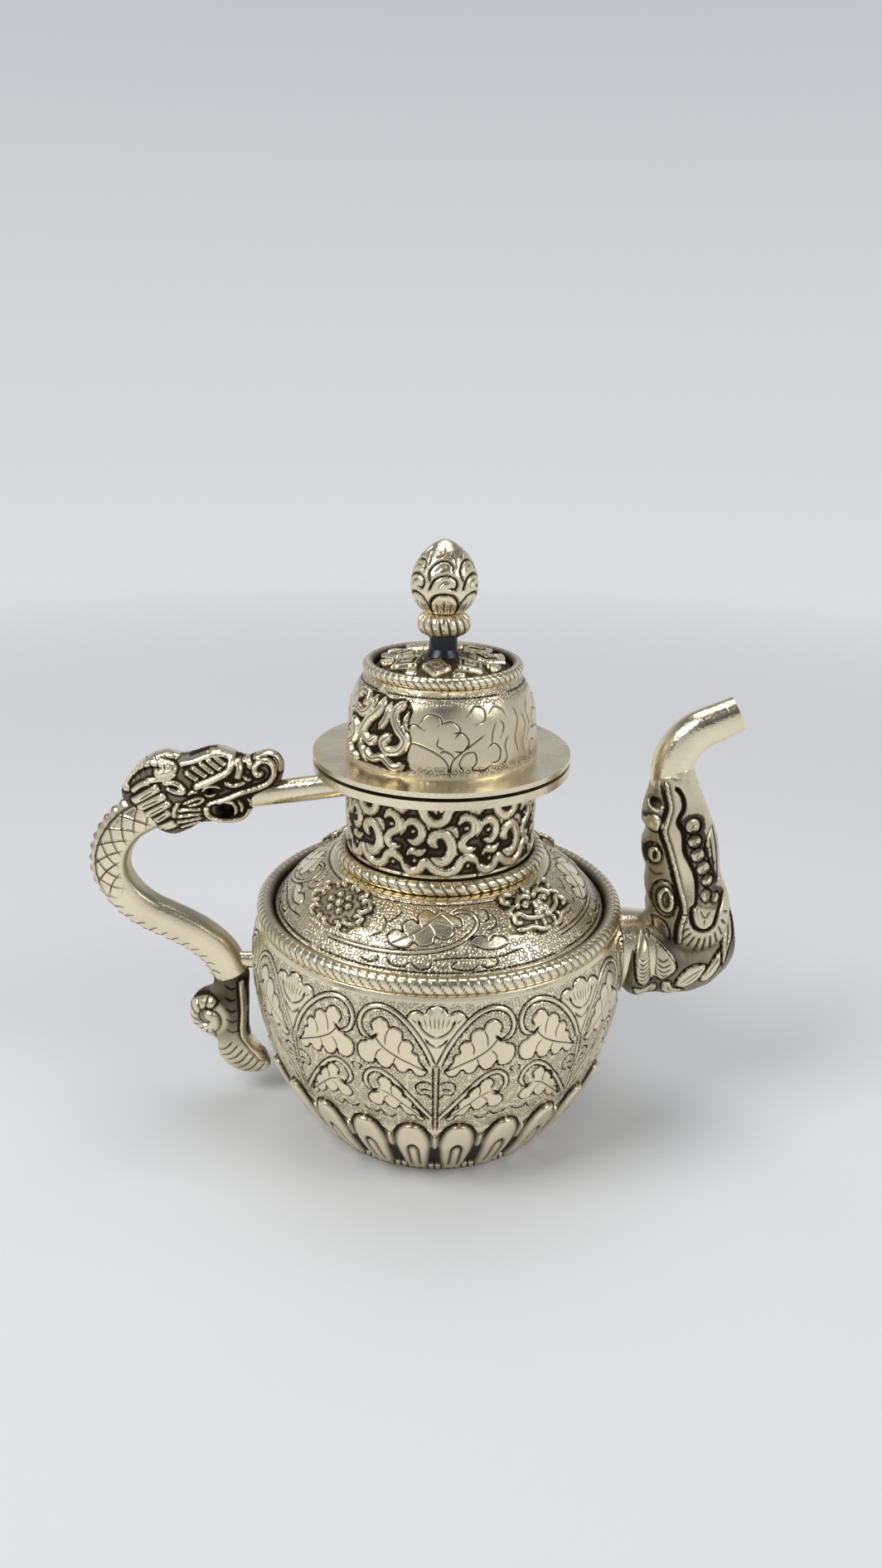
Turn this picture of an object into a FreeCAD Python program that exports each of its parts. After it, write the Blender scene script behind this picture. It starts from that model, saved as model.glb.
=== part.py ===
import FreeCAD
import Part
import Sketcher
import math
import os
import re

Vector = FreeCAD.Vector

# Driving dimensions in millimetres, degrees or counts
SIZES = {
    # bowl, its base and its petals
    "base_radius": 31.0,
    "base_lip": 0.7,
    "base_thickness": 1.6,
    "bowl_radius": 48.0,
    "bowl_peak": 46.5,
    "mouth_radius": 45.5,
    "mouth_height": 57.4,
    "ledge_width": 5.6,
    "sheet": 1.2,
    "petal_height": 22.4,
    "petal_notch": 14.0,
    "petal_relief": 1.5,
    "petal_tip": 0.9,
    "petal_count": 24,
    # belt, shoulder and medallions
    "belt_cord_size": 4.2,
    "belt_inset": 1.4,
    "shoulder_edge": 2.0,
    "shoulder_rise": 14.6,
    "shoulder_crown": 34.0,
    "medallion_ring": 32.6,
    "medallion_length": 17.0,
    "medallion_height": 12.0,
    "medallion_lobe": 0.6,
    "medallion_relief": 1.5,
    # neck and rim
    "neck_radius": 23.6,
    "sleeve_thickness": 0.9,
    "neck_wall": 1.2,
    "neck_height": 24.0,
    "neck_tuck": 2.5,
    "neck_cord_size": 3.4,
    "rim_radius": 31.3,
    "rim_thickness": 2.0,
    "lid_seat": 0.9,
    # lid
    "lid_plate_thickness": 1.2,
    "bezel_clearance": 0.3,
    "bezel_wall": 0.9,
    "bezel_depth": 8.0,
    "lid_radius": 23.3,
    "lid_taper": 0.6,
    "lid_straight": 8.0,
    "lid_height": 19.6,
    "lid_top_radius": 18.2,
    "lid_lip": 3.6,
    "lid_cord_size": 2.8,
    "lid_cord_inset": 0.4,
    "crown_edge": 0.8,
    "crown_rise": 3.8,
    "crown_petal_count": 8,
    "crown_petal_relief": 0.9,
    "crown_petal_gap": 3.4,
    "crown_petal_notch": 8.0,
    "crown_petal_margin": 0.7,
    # finial
    "stem_radius": 3.3,
    "stem_flare": 4.3,
    "stem_height": 4.8,
    "collar_radius": 6.4,
    "collar_height": 5.4,
    "flute_count": 14,
    "flute_radius": 0.7,
    "bud_foot": 4.4,
    "bud_radius": 8.2,
    "bud_belly": 6.2,
    "bud_height": 17.0,
    "bud_tip": 0.5,
    "rivet_radius": 1.3,
    "rivet_depth": 6.0,
    "rivet_head": 3.0,
    "rivet_head_thickness": 1.0,
    # handle: the dragon's arm, head and tail, its strut and its lug
    "handle_foot": 37.0,
    "handle_standoff": 6.3,
    "handle_reach": 29.8,
    "foot_angle": 110.0,
    "knee_radius": 16.0,
    "bend_radius": 15.7,
    "bend_rise": 33.0,
    "head_angle": 108.0,
    "arm_width": 9.8,
    "arm_foot_width": 8.6,
    "arm_depth": 8.0,
    "head_length": 31.0,
    "head_half_height": 10.4,
    "head_half_width": 8.0,
    "snout_radius": 5.3,
    "snout_width": 11.0,
    "jaw_width": 8.6,
    "brow_width": 15.0,
    "mane_width": 12.0,
    "strut_radius": 3.1,
    "strut_drop": 5.6,
    "strut_bite": 7.6,
    "lug_radius": 2.2,
    "lug_rise": 3.6,
    "tail_depth": 7.0,
    "tail_curl": 5.8,
    "tail_length": 29.6,
    "tail_width": 8.4,
    # spout
    "spout_drop": 10.9,
    "spout_reach": 17.3,
    "collar_root_radius": 10.6,
    "collar_end_radius": 9.0,
    "collar_bore": 5.5,
    "collar_tuck": 6.0,
    "elbow_radius": 12.0,
    "elbow_depth": 9.4,
    "elbow_flat": 7.0,
    "spout_lean": 10.1,
    "makara_length": 47.7,
    "makara_foot_width": 9.3,
    "makara_foot_depth": 8.4,
    "makara_neck_radius": 5.4,
    "makara_bore": 4.6,
    "lappet_width": 17.0,
    "lappet_shift": 2.5,
    "lappet_drop": 2.3,
    "lappet_relief": 1.0,
    "curl_radius": 3.3,
    "curl_width": 7.0,
    "tube_bore": 3.5,
    "tube_bend_radius": 12.0,
    "tube_turn": 75.0,
    "tube_lip_length": 8.6,
    "tube_lip_radius": 4.5,
    # thin solder gap between curved faces that are joined
    "solder_gap": 0.05,
}

# Places worked out from the driving dimensions
PLACES = {
    "bowl_arc": "((bowl_radius-base_radius)^2+(bowl_peak-base_thickness)^2)/(2*(bowl_radius-base_radius))",
    "petal_tip_radius": "bowl_radius-bowl_arc+sqrt(bowl_arc^2-(bowl_peak-petal_height)^2)",
    "petal_pitch": "(petal_tip_radius+petal_relief)*tan(180/petal_count)",
    "belt_ring": "mouth_radius-belt_inset",
    "shoulder_radius": "belt_ring-belt_cord_size/2-solder_gap",
    "shoulder_top": "mouth_height+shoulder_rise",
    "tube_radius": "neck_radius-sleeve_thickness",
    "neck_hole": "tube_radius+solder_gap",
    "neck_bore": "tube_radius-neck_wall",
    "neck_ledge": "neck_hole+neck_cord_size",
    "rim_bottom": "shoulder_top+neck_height",
    "rim_top": "rim_bottom+rim_thickness",
    "lid_base": "rim_top+lid_seat",
    "dome_base": "lid_base+lid_plate_thickness",
    "dome_top": "dome_base+lid_height",
    "bezel_radius": "neck_bore-bezel_clearance",
    "bezel_bore": "bezel_radius-bezel_wall",
    "lid_cord_ring": "lid_top_radius-lid_cord_inset",
    "crown_radius": "lid_cord_ring-lid_cord_size/2-solder_gap",
    "crown_slope": "(crown_rise-crown_edge)/(crown_radius-stem_flare)",
    "rivet_bore": "rivet_radius+solder_gap",
    "crown_top": "dome_top+crown_rise",
    "collar_base": "crown_top+stem_height",
    "bud_base": "collar_base+collar_height",
    "foot_x": "bowl_radius+handle_standoff",
    "head_x": "foot_x+handle_reach-bend_radius-bend_radius*cos(head_angle)",
    "head_z": "handle_foot+bend_rise+bend_radius*sin(head_angle)",
    "bite_x": "head_x-head_length+strut_bite",
    "bite_z": "head_z+head_half_height*0.14",
    "strut_run": "bite_x-tube_radius",
    "strut_climb": "rim_bottom-strut_drop-bite_z",
    "strut_slope": "atan(strut_climb/strut_run)/(1 deg)",
    "elbow_x": "bowl_radius+spout_reach",
    "spout_height": "mouth_height-spout_drop",
}

doc = FreeCAD.newDocument("teapot")
sheet = doc.addObject("Spreadsheet::Sheet", "Sizes")
for row, (alias, number) in enumerate(SIZES.items(), start=1):
    sheet.set(f"A{row}", alias)
    sheet.set(f"B{row}", str(number))
    sheet.setAlias(f"B{row}", alias)
doc.recompute()


def bound(text):
    def swap(word):
        name = word.group()
        if name in SIZES:
            return "Sizes." + name
        if name in PLACES:
            return "(" + bound(PLACES[name]) + ")"
        return name
    return re.sub(r"[a-z][a-z_]*", swap, str(text))


def number(text):
    return float(sheet.evalExpression(bound(text)))


def place(thing, x="0", y="0", z="0"):
    for axis, text in zip("xyz", (x, y, z)):
        thing.setExpression(f"Placement.Base.{axis}", bound(text))


def turn(thing, axis, angle):
    thing.Placement = FreeCAD.Placement(thing.Placement.Base, FreeCAD.Rotation(axis, 1.0))
    thing.setExpression("Placement.Rotation.Angle", bound(angle))


def origin_feature(body, role):
    return next(item for item in body.Origin.OriginFeatures if item.Role == role)


def new_body(label):
    body = doc.addObject("PartDesign::Body", label)
    body.Label = label
    return body


def new_sketch(body, name, role="XZ_Plane", lift=None):
    sketch = body.newObject("Sketcher::SketchObject", name)
    sketch.AttachmentSupport = [(origin_feature(body, role), "")]
    sketch.MapMode = "FlatFace"
    if lift is not None:
        sketch.setExpression("AttachmentOffset.Base.z", bound(lift))
    return sketch


def limit(sketch, kind, *where, size):
    index = sketch.addConstraint(Sketcher.Constraint(kind, *where, number(size)))
    sketch.setExpression(f"Constraints[{index}]", bound(size))


def pin(sketch, item, end, x, y):
    for kind, axis, text in (("DistanceX", -2, x), ("DistanceY", -1, y)):
        if str(text) == "0":
            sketch.addConstraint(Sketcher.Constraint("PointOnObject", item, end, axis))
        else:
            limit(sketch, kind, -1, 1, item, end, size=text)


def arc_centre(first, last, rule, text, way):
    if rule == "level":
        level = number(text)
        lift = (level - last.y) ** 2 - (level - first.y) ** 2
        return Vector((last.x ** 2 - first.x ** 2 + lift) / (2 * (last.x - first.x)), level)
    chord = last - first
    rise = math.sqrt(number(text) ** 2 - chord.Length ** 2 / 4)
    side = Vector(-chord.y, chord.x).normalize() * way
    return (first + last) / 2 + side * rise


def outline(sketch, corners, arcs=None):
    # Closed outline of lines and arcs. An arc leaves its corner and is set by the height of its
    # centre ("level") or by its radius, and turns left (1) or right (-1) on its way to the next corner.
    arcs = arcs or {}
    points = [Vector(number(x), number(y)) for x, y in corners]
    ends = []
    for index, first in enumerate(points):
        last = points[(index + 1) % len(points)]
        if index not in arcs:
            item = sketch.addGeometry(Part.LineSegment(first, last))
            ends.append((item, 1, 2))
            continue
        rule, text, way = arcs[index]
        centre = arc_centre(first, last, rule, text, way)
        circle = Part.Circle(centre, Vector(0, 0, 1), (first - centre).Length)
        begin, finish = (first, last) if way > 0 else (last, first)
        angles = [math.atan2(end.y - centre.y, end.x - centre.x) for end in (begin, finish)]
        item = sketch.addGeometry(Part.ArcOfCircle(circle, *angles))
        ends.append((item, 1, 2) if way > 0 else (item, 2, 1))
    for index, (item, start, finish) in enumerate(ends):
        following, begin, _ = ends[(index + 1) % len(ends)]
        sketch.addConstraint(Sketcher.Constraint("Coincident", item, finish, following, begin))
        pin(sketch, item, start, *corners[index])
        if index in arcs:
            rule, text, way = arcs[index]
            if rule == "level":
                limit(sketch, "DistanceY", -1, 1, item, 3, size=text)
            else:
                limit(sketch, "Radius", item, size=text)


def ring(sketch, radius, x="0", y="0"):
    item = sketch.addGeometry(Part.Circle(Vector(number(x), number(y)), Vector(0, 0, 1), number(radius)))
    pin(sketch, item, 3, x, y)
    limit(sketch, "Radius", item, size=radius)


def oval(sketch, half_x, half_y, y="0"):
    # Ellipse with its long or short axis upright, held by its two end points and its centre
    big, small = number(half_x), number(half_y)
    middle = Vector(0, number(y))
    across = big >= small
    major = middle + (Vector(big, 0) if across else Vector(0, small))
    minor = middle + (Vector(0, small) if across else Vector(-big, 0))
    item = sketch.addGeometry(Part.Ellipse(major, minor, middle))
    sketch.exposeInternalGeometry(item)
    pin(sketch, item, 3, "0", y)
    long_axis, short_axis = item + 1, item + 2
    sketch.addConstraint(Sketcher.Constraint("Horizontal" if across else "Vertical", long_axis))
    limit(sketch, "Distance", long_axis, size=f"2*({half_x if across else half_y})")
    limit(sketch, "Distance", short_axis, size=f"2*({half_y if across else half_x})")


def add(body, kind, name, profile, **settings):
    feature = body.newObject("PartDesign::" + kind, name)
    feature.Profile = profile
    for key, setting in settings.items():
        setattr(feature, key, setting)
    return feature


def turned(label, corners, arcs=None):
    body = new_body(label)
    sketch = new_sketch(body, label + "_profile")
    outline(sketch, corners, arcs)
    add(body, "Revolution", label + "_turning", sketch, ReferenceAxis=(sketch, ["V_Axis"]), Angle=360)
    return body


def tube(label, outer, bore, bottom, top):
    return turned(label, [(bore, bottom), (outer, bottom), (outer, top), (bore, top)])


def cord(label, radius, size, bottom):
    torus = doc.addObject("Part::Torus", label)
    torus.Label = label
    torus.setExpression("Radius1", bound(radius))
    torus.setExpression("Radius2", bound(f"({size})/2"))
    place(torus, z=f"{bottom}+({size})/2")
    return torus


def repeat(body, feature, count, name):
    doc.recompute()
    pattern = body.newObject("PartDesign::PolarPattern", name)
    pattern.Originals = [feature]
    pattern.Axis = (origin_feature(body, "Z_Axis"), [""])
    pattern.Angle = 360
    pattern.setExpression("Occurrences", bound(count))
    body.Tip = pattern


def cut(label, base, *tools):
    for step, tool in enumerate(tools, start=1):
        last = step == len(tools)
        taken = doc.addObject("Part::Cut", label if last else f"{label}_step_{step}")
        taken.Base = base
        taken.Tool = tool
        base = taken
    base.Label = label
    return base


def rod(label, radius, length):
    cylinder = doc.addObject("Part::Cylinder", label)
    cylinder.setExpression("Radius", bound(radius))
    cylinder.setExpression("Height", bound(length))
    return cylinder


def loft(body, name, kind, sections):
    add(body, kind, name, sections[0], Sections=[(section, [""]) for section in sections[1:]])


def pad(body, name, corners, arcs, width):
    # Symmetric plate: an outline in the upright XZ plane, thickened both ways
    sketch = new_sketch(body, name + "_outline")
    outline(sketch, corners, arcs)
    plate = add(body, "Pad", name, sketch, Midplane=True)
    plate.setExpression("Length", bound(width))


def disc(body, name, radius, x, y, width):
    sketch = new_sketch(body, name + "_outline")
    ring(sketch, radius, x, y)
    plate = add(body, "Pad", name, sketch, Midplane=True)
    plate.setExpression("Length", bound(width))


def aimed_sketch(body, name, x, z, angle):
    # Section plane in the XZ plane of the path: moved to a point of it and turned about Y
    sketch = new_sketch(body, name, "XY_Plane")
    sketch.AttachmentOffset = FreeCAD.Placement(Vector(), FreeCAD.Rotation(Vector(0, 1, 0), 1.0))
    sketch.setExpression("AttachmentOffset.Base.x", bound(x))
    sketch.setExpression("AttachmentOffset.Base.z", bound(z))
    sketch.setExpression("AttachmentOffset.Rotation.Angle", bound(angle))
    return sketch


def make_base_plate():
    edge = "base_radius+base_lip"
    return turned("base_plate", [("0", "0"), (edge, "0"), (edge, "base_thickness"), ("0", "base_thickness")])


def bowl_outside():
    corners = [
        ("0", "base_thickness"),
        ("base_radius", "base_thickness"),
        ("bowl_radius", "bowl_peak"),
        ("mouth_radius", "mouth_height"),
    ]
    return corners, {1: ("level", "bowl_peak", 1), 2: ("level", "bowl_peak", 1)}


def make_bowl():
    corners, arcs = bowl_outside()
    ledge = "mouth_radius-ledge_width"
    corners += [
        (ledge, "mouth_height"),
        (ledge, "mouth_height-sheet"),
        ("mouth_radius-sheet", "mouth_height-sheet"),
        ("bowl_radius-sheet", "bowl_peak"),
        ("base_radius-sheet", "base_thickness+sheet"),
        ("0", "base_thickness+sheet"),
    ]
    arcs |= {6: ("level", "bowl_peak", -1), 7: ("level", "bowl_peak", -1)}
    bowl = turned("bowl", corners, arcs)
    hole = new_sketch(bowl, "spout_hole_outline", "YZ_Plane")
    ring(hole, "collar_bore", "0", "spout_height")
    add(bowl, "Pocket", "spout_hole", hole, Type="ThroughAll", Reversed=True)
    return bowl


def make_bowl_form():
    corners, arcs = bowl_outside()
    return turned("bowl_form", corners + [("0", "mouth_height")], arcs)


def make_lotus_band():
    corners = [
        ("base_radius+solder_gap", "base_thickness"),
        ("base_radius+petal_relief", "base_thickness"),
        ("petal_tip_radius+petal_relief", "petal_height"),
        ("petal_tip_radius+solder_gap", "petal_height"),
    ]
    band = turned("lotus_band", corners, {1: ("level", "bowl_peak", 1), 3: ("level", "bowl_peak", -1)})
    gap = new_sketch(band, "petal_gap_outline")
    above = "petal_height+petal_relief"
    tip = "petal_pitch-petal_tip"
    sides = {0: ("level", "petal_notch", -1), 2: ("level", "petal_notch", -1)}
    outline(gap, [("0", "petal_notch"), (tip, above), (f"-({tip})", above)], sides)
    cutter = add(band, "Pocket", "petal_gap", gap, Type="ThroughAll", Reversed=True)
    repeat(band, cutter, "petal_count", "petal_gaps")
    return band


def shoulder_line(rise):
    edge = "mouth_height+shoulder_edge"
    return [("shoulder_radius", f"{edge}+{rise}"), ("neck_ledge", f"shoulder_top+{rise}")]


def make_shoulder():
    edge = "mouth_height+shoulder_edge-sheet*0.5"
    corners = [("shoulder_radius", "mouth_height"), *shoulder_line("0"), ("neck_hole", "shoulder_top")]
    corners += [
        ("neck_hole", "shoulder_top-sheet"),
        ("neck_ledge", "shoulder_top-sheet"),
        ("shoulder_radius-sheet", edge),
        ("shoulder_radius-sheet", "mouth_height"),
    ]
    arcs = {1: ("radius", "shoulder_crown", 1), 5: ("radius", "shoulder_crown", -1)}
    return turned("shoulder", corners, arcs)


def make_medallions():
    low = shoulder_line("solder_gap")
    high = shoulder_line("medallion_relief")
    corners = [low[0], high[0], high[1], low[1]]
    arcs = {1: ("radius", "shoulder_crown", 1), 3: ("radius", "shoulder_crown", -1)}
    relief = turned("medallion_relief_form", corners, arcs)
    lobes = 8
    medallions = []
    for index in range(1, 5):
        stamp = new_body(f"medallion_stamp_{index}")
        sketch = new_sketch(stamp, f"medallion_outline_{index}", "XY_Plane")
        angles = [360 / lobes * (step + 0.5) for step in range(lobes)]
        points = [
            (f"medallion_ring+medallion_height/2*cos({angle})", f"medallion_length/2*sin({angle})")
            for angle in angles
        ]
        radius = "0.2*medallion_length+medallion_lobe"
        outline(sketch, points, {step: ("radius", radius, 1) for step in range(lobes)})
        plug = add(stamp, "Pad", f"medallion_plug_{index}", sketch)
        plug.setExpression("Length", bound("rim_bottom"))
        turn(stamp, Vector(0, 0, 1), f"{90 * index}-45")
        medallion = doc.addObject("Part::Common", f"medallion_{index}")
        medallion.Label = f"medallion_{index}"
        medallion.Base = relief
        medallion.Tool = stamp
        medallions.append(medallion)
    return medallions


def make_neck():
    sleeve_foot = "shoulder_top+neck_cord_size"
    return [
        tube("neck", "tube_radius", "neck_bore", "shoulder_top-neck_tuck", "lid_base"),
        tube("neck_sleeve", "neck_radius", "neck_hole", sleeve_foot, "rim_bottom"),
        cord("neck_cord", "neck_hole+neck_cord_size/2", "neck_cord_size", "shoulder_top"),
        tube("rim_flange", "rim_radius", "neck_hole", "rim_bottom", "rim_top"),
    ]


def make_lid_dome():
    bend = "dome_base+lid_straight"
    corners = [
        ("lid_radius", "dome_base"),
        ("lid_radius-lid_taper", bend),
        ("lid_top_radius", "dome_top"),
        ("lid_top_radius-lid_lip", "dome_top"),
        ("lid_top_radius-lid_lip", "dome_top-sheet"),
        ("lid_top_radius-sheet", "dome_top-sheet"),
        ("lid_radius-lid_taper-sheet", bend),
        ("lid_radius-sheet", "dome_base"),
    ]
    return turned("lid_dome", corners, {1: ("level", bend, 1), 5: ("level", bend, -1)})


def make_lid_crown():
    corners = [
        ("crown_radius", "dome_top"),
        ("crown_radius", "dome_top+crown_edge"),
        ("stem_flare", "crown_top"),
        ("rivet_bore", "crown_top"),
        ("rivet_bore", "crown_top-sheet"),
        ("stem_flare", "crown_top-sheet"),
        ("lid_top_radius-lid_lip", "dome_top"),
    ]
    return turned("lid_crown", corners)


def make_crown_petals():
    inside = "stem_flare+crown_petal_margin"
    outside = "crown_radius-crown_petal_margin"
    corners = [(radius, f"crown_top-({radius}-stem_flare)*crown_slope+{lift}") for radius, lift in (
        (inside, "solder_gap"),
        (outside, "solder_gap"),
        (outside, "crown_petal_relief"),
        (inside, "crown_petal_relief"),
    )]
    petals = turned("crown_petals", corners)
    gap = new_sketch(petals, "crown_gap_outline", "XY_Plane", "dome_top")
    wide = "crown_petal_gap/2"
    outline(gap, [("crown_petal_notch", "0"), ("crown_radius", f"-{wide}"), ("crown_radius", wide)])
    cutter = add(petals, "Pocket", "crown_gap", gap, Type="ThroughAll", Reversed=True)
    repeat(petals, cutter, "crown_petal_count", "crown_gaps")
    return petals


def make_finial():
    stem = turned("finial_stem", [
        ("rivet_bore", "crown_top"),
        ("stem_flare", "crown_top"),
        ("stem_radius", "crown_top+stem_height/3"),
        ("stem_radius", "collar_base"),
        ("rivet_bore", "collar_base"),
    ])
    waist = "collar_base+collar_height/2"
    collar = turned("finial_collar", [
        ("rivet_bore", "collar_base"),
        ("stem_radius", "collar_base"),
        ("collar_radius", waist),
        ("bud_foot", "bud_base"),
        ("rivet_bore", "bud_base"),
    ], {1: ("level", waist, 1), 2: ("level", waist, 1)})
    flute = new_sketch(collar, "flute_outline", "XY_Plane", "collar_base")
    ring(flute, "flute_radius", "collar_radius", "0")
    cutter = add(collar, "Pocket", "flute", flute, Type="ThroughAll", Reversed=True)
    repeat(collar, cutter, "flute_count", "flutes")
    belly = "bud_base+bud_belly"
    bud = turned("finial_bud", [
        ("0", "bud_base+rivet_depth"),
        ("rivet_bore", "bud_base+rivet_depth"),
        ("rivet_bore", "bud_base"),
        ("bud_foot", "bud_base"),
        ("bud_radius", belly),
        ("bud_tip", "bud_base+bud_height"),
        ("0", "bud_base+bud_height"),
    ], {3: ("level", belly, 1), 4: ("level", belly, 1)})
    head_top = "crown_top-sheet"
    rivet = turned("finial_rivet", [
        ("0", f"{head_top}-rivet_head_thickness"),
        ("rivet_head", f"{head_top}-rivet_head_thickness"),
        ("rivet_head", head_top),
        ("rivet_radius", head_top),
        ("rivet_radius", "bud_base+rivet_depth-solder_gap"),
        ("0", "bud_base+rivet_depth-solder_gap"),
    ])
    return [stem, collar, bud, rivet]


def arm_section(body, name, x, z, angle, width):
    # Flat on the side of the hand's palm, ridged along the dragon's back
    sketch = aimed_sketch(body, name, x, z, angle)
    half = "arm_depth/2"
    outline(sketch, [
        (f"{width}/2", f"-0.7*{half}"),
        (f"{width}/2", f"0.7*{half}"),
        (f"0.1*{width}", half),
        (f"-0.3*{width}", f"0.8*{half}"),
        (f"-{width}/2", f"0.2*{half}"),
        (f"-{width}/2", f"-0.2*{half}"),
        (f"-0.3*{width}", f"-0.8*{half}"),
        (f"0.1*{width}", f"-{half}"),
    ])
    return sketch


def arm_path(body):
    # Knee arc, straight run and grip bend, tangent to each other, from the foot up to the nape
    path = new_sketch(body, "arm_path")
    knee_x, knee_y = "knee_radius*cos(foot_angle+90)", "knee_radius*sin(foot_angle+90)"
    bend_x, bend_y = "bend_radius-handle_reach", "bend_rise"
    knee_centre = Vector(number(knee_x), number(knee_y))
    bend_centre = Vector(number(bend_x), number(bend_y))
    span = bend_centre - knee_centre
    spread = math.acos(number("knee_radius+bend_radius") / span.Length)
    heading = math.atan2(span.y, span.x) + math.pi / 2 - spread
    side = Vector(math.sin(heading), -math.cos(heading))
    up = Vector(0, 0, 1)
    knee_circle = Part.Circle(knee_centre, up, number("knee_radius"))
    bend_circle = Part.Circle(bend_centre, up, number("bend_radius"))
    first = math.radians(number("foot_angle-90"))
    last = math.radians(number("head_angle"))
    knee = path.addGeometry(Part.ArcOfCircle(knee_circle, first, heading - math.pi / 2))
    start = knee_centre + side * number("knee_radius")
    finish = bend_centre - side * number("bend_radius")
    run = path.addGeometry(Part.LineSegment(start, finish))
    bend = path.addGeometry(Part.ArcOfCircle(bend_circle, last, heading + math.pi / 2))
    path.addConstraint(Sketcher.Constraint("Coincident", knee, 1, -1, 1))
    pin(path, knee, 3, knee_x, knee_y)
    path.addConstraint(Sketcher.Constraint("Tangent", knee, 2, run, 1))
    path.addConstraint(Sketcher.Constraint("Tangent", run, 2, bend, 2))
    pin(path, bend, 3, bend_x, bend_y)
    limit(path, "Radius", bend, size="bend_radius")
    limit(path, "DistanceX", -1, 1, bend, 1, size=f"{bend_x}+bend_radius*cos(head_angle)")
    return path


def make_dragon_body():
    arm = new_body("dragon_body")
    path = arm_path(arm)
    end_x = "bend_radius-handle_reach+bend_radius*cos(head_angle)"
    end_z = "bend_rise+bend_radius*sin(head_angle)"
    foot = arm_section(arm, "arm_foot", "0", "0", "90-foot_angle", "arm_foot_width")
    nape = arm_section(arm, "arm_nape", end_x, end_z, "180-head_angle", "arm_width")
    doc.recompute()
    spine = (path, ["Edge1", "Edge2", "Edge3"])
    add(arm, "AdditivePipe", "arm", foot, Spine=spine, Sections=[(nape, [""])], Transformation="Multisection")
    place(arm, x="-foot_x", z="handle_foot")
    return arm


def make_head_form():
    head = new_body("dragon_head_form")
    length, height, width = "head_length", "head_half_height", "head_half_width"
    stations = [
        (-0.08, 0.60, 0.56, 0.06),
        (0.17, 0.96, 1.00, 0.24),
        (0.52, 1.00, 0.90, 0.50),
        (0.78, 0.74, 0.56, 0.64),
        (0.97, 0.62, 0.44, 0.74),
    ]
    sections = []
    for index, (along, wide, tall, centre) in enumerate(stations):
        section = new_sketch(head, f"head_section_{index}", "YZ_Plane", f"{along}*{length}")
        oval(section, f"{wide}*{width}", f"{tall}*{height}", f"{centre}*{height}")
        sections.append(section)
    loft(head, "skull", "AdditiveLoft", sections)
    disc(head, "snout_roll", "snout_radius", f"0.97*{length}", f"0.82*{height}", "snout_width")

    def lobe(name, points, arcs, thickness):
        pad(head, name, [(f"{x}*{length}", f"{z}*{height}") for x, z in points], arcs, thickness)

    lobe("jaw", [(0.36, 0.02), (0.80, -0.14), (0.86, -0.50), (0.80, -0.62), (0.40, -0.56)], {}, "jaw_width")
    lobe("brow", [(0.24, 0.60), (0.70, 0.72), (0.78, 1.14), (0.66, 1.36), (0.50, 1.38), (0.30, 1.18)], {},
         "brow_width")
    lobe("mane", [(-0.18, 0.02), (0.16, 0.50), (0.34, 1.10), (0.20, 1.28), (0.02, 1.12), (-0.14, 0.55)], {},
         "mane_width")
    lobe("beard", [(-0.10, -0.25), (0.10, -0.72), (0.22, -0.86), (0.36, -0.62), (0.44, -0.30), (0.2, 0.3)], {},
         "mane_width")
    disc(head, "eyes", "snout_radius*0.28", f"0.51*{length}", f"0.36*{height}", f"2*{width}+0.6")
    mouth = new_sketch(head, "mouth_outline")
    ring(mouth, "snout_radius*0.4", f"0.64*{length}", f"-0.2*{height}")
    add(head, "Pocket", "mouth", mouth, Type="ThroughAll", Midplane=True)
    place(head, x="-head_x", z="head_z")
    return head


def make_strut():
    bar = rod("strut_rod", "strut_radius", "sqrt(strut_run^2+strut_climb^2)")
    turn(bar, Vector(0, 1, 0), "90-strut_slope")
    place(bar, x="-bite_x", z="bite_z")
    neck_form = rod("neck_form", "neck_radius+solder_gap", "neck_height")
    place(neck_form, z="shoulder_top")
    return bar, cut("handle_strut", bar, neck_form)


def make_tail_form():
    tail = new_body("dragon_tail_form")
    side = "tail_width/2"
    points = [
        (f"-{side}", "2"),
        (side, "2"),
        (side, "-0.62*tail_length"),
        ("1.9*" + side, "-0.79*tail_length"),
        ("2.3*" + side, "-0.93*tail_length"),
        ("1.8*" + side, "-tail_length"),
        (f"-0.3*{side}", "-tail_length"),
        (f"-1.05*{side}", "-0.85*tail_length"),
        (f"-1.1*{side}", "-0.66*tail_length"),
    ]
    pad(tail, "tail_blade", points, {2: ("radius", "tail_width", 1), 5: ("radius", "tail_width", -1)},
        "tail_depth")
    disc(tail, "tail_roll", "tail_curl", f"-{side}-0.3*tail_curl", "-0.42*tail_length", "tail_depth*0.9")
    place(tail, x="-foot_x", z="handle_foot")
    return tail


def make_lug_form():
    lug = rod("lug_rod", "lug_radius", "handle_standoff+sheet")
    turn(lug, Vector(0, 1, 0), "-90")
    place(lug, x="sheet-bowl_radius", z="handle_foot+lug_rise")
    return lug


def make_handle(bowl_form):
    arm = make_dragon_body()
    bar, strut = make_strut()
    head = cut("dragon_head", make_head_form(), bar, arm)
    tail = cut("dragon_tail", make_tail_form(), arm)
    lug = cut("handle_lug", make_lug_form(), bowl_form, arm, tail)
    return [arm, strut, head, tail, lug]


def along_spout(distance):
    return f"elbow_x-({distance})*sin(spout_lean)", f"spout_height+({distance})*cos(spout_lean)"


def lean(thing, distance):
    turn(thing, Vector(0, 1, 0), "-spout_lean")
    x, z = along_spout(distance)
    place(thing, x=x, z=z)


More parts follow.
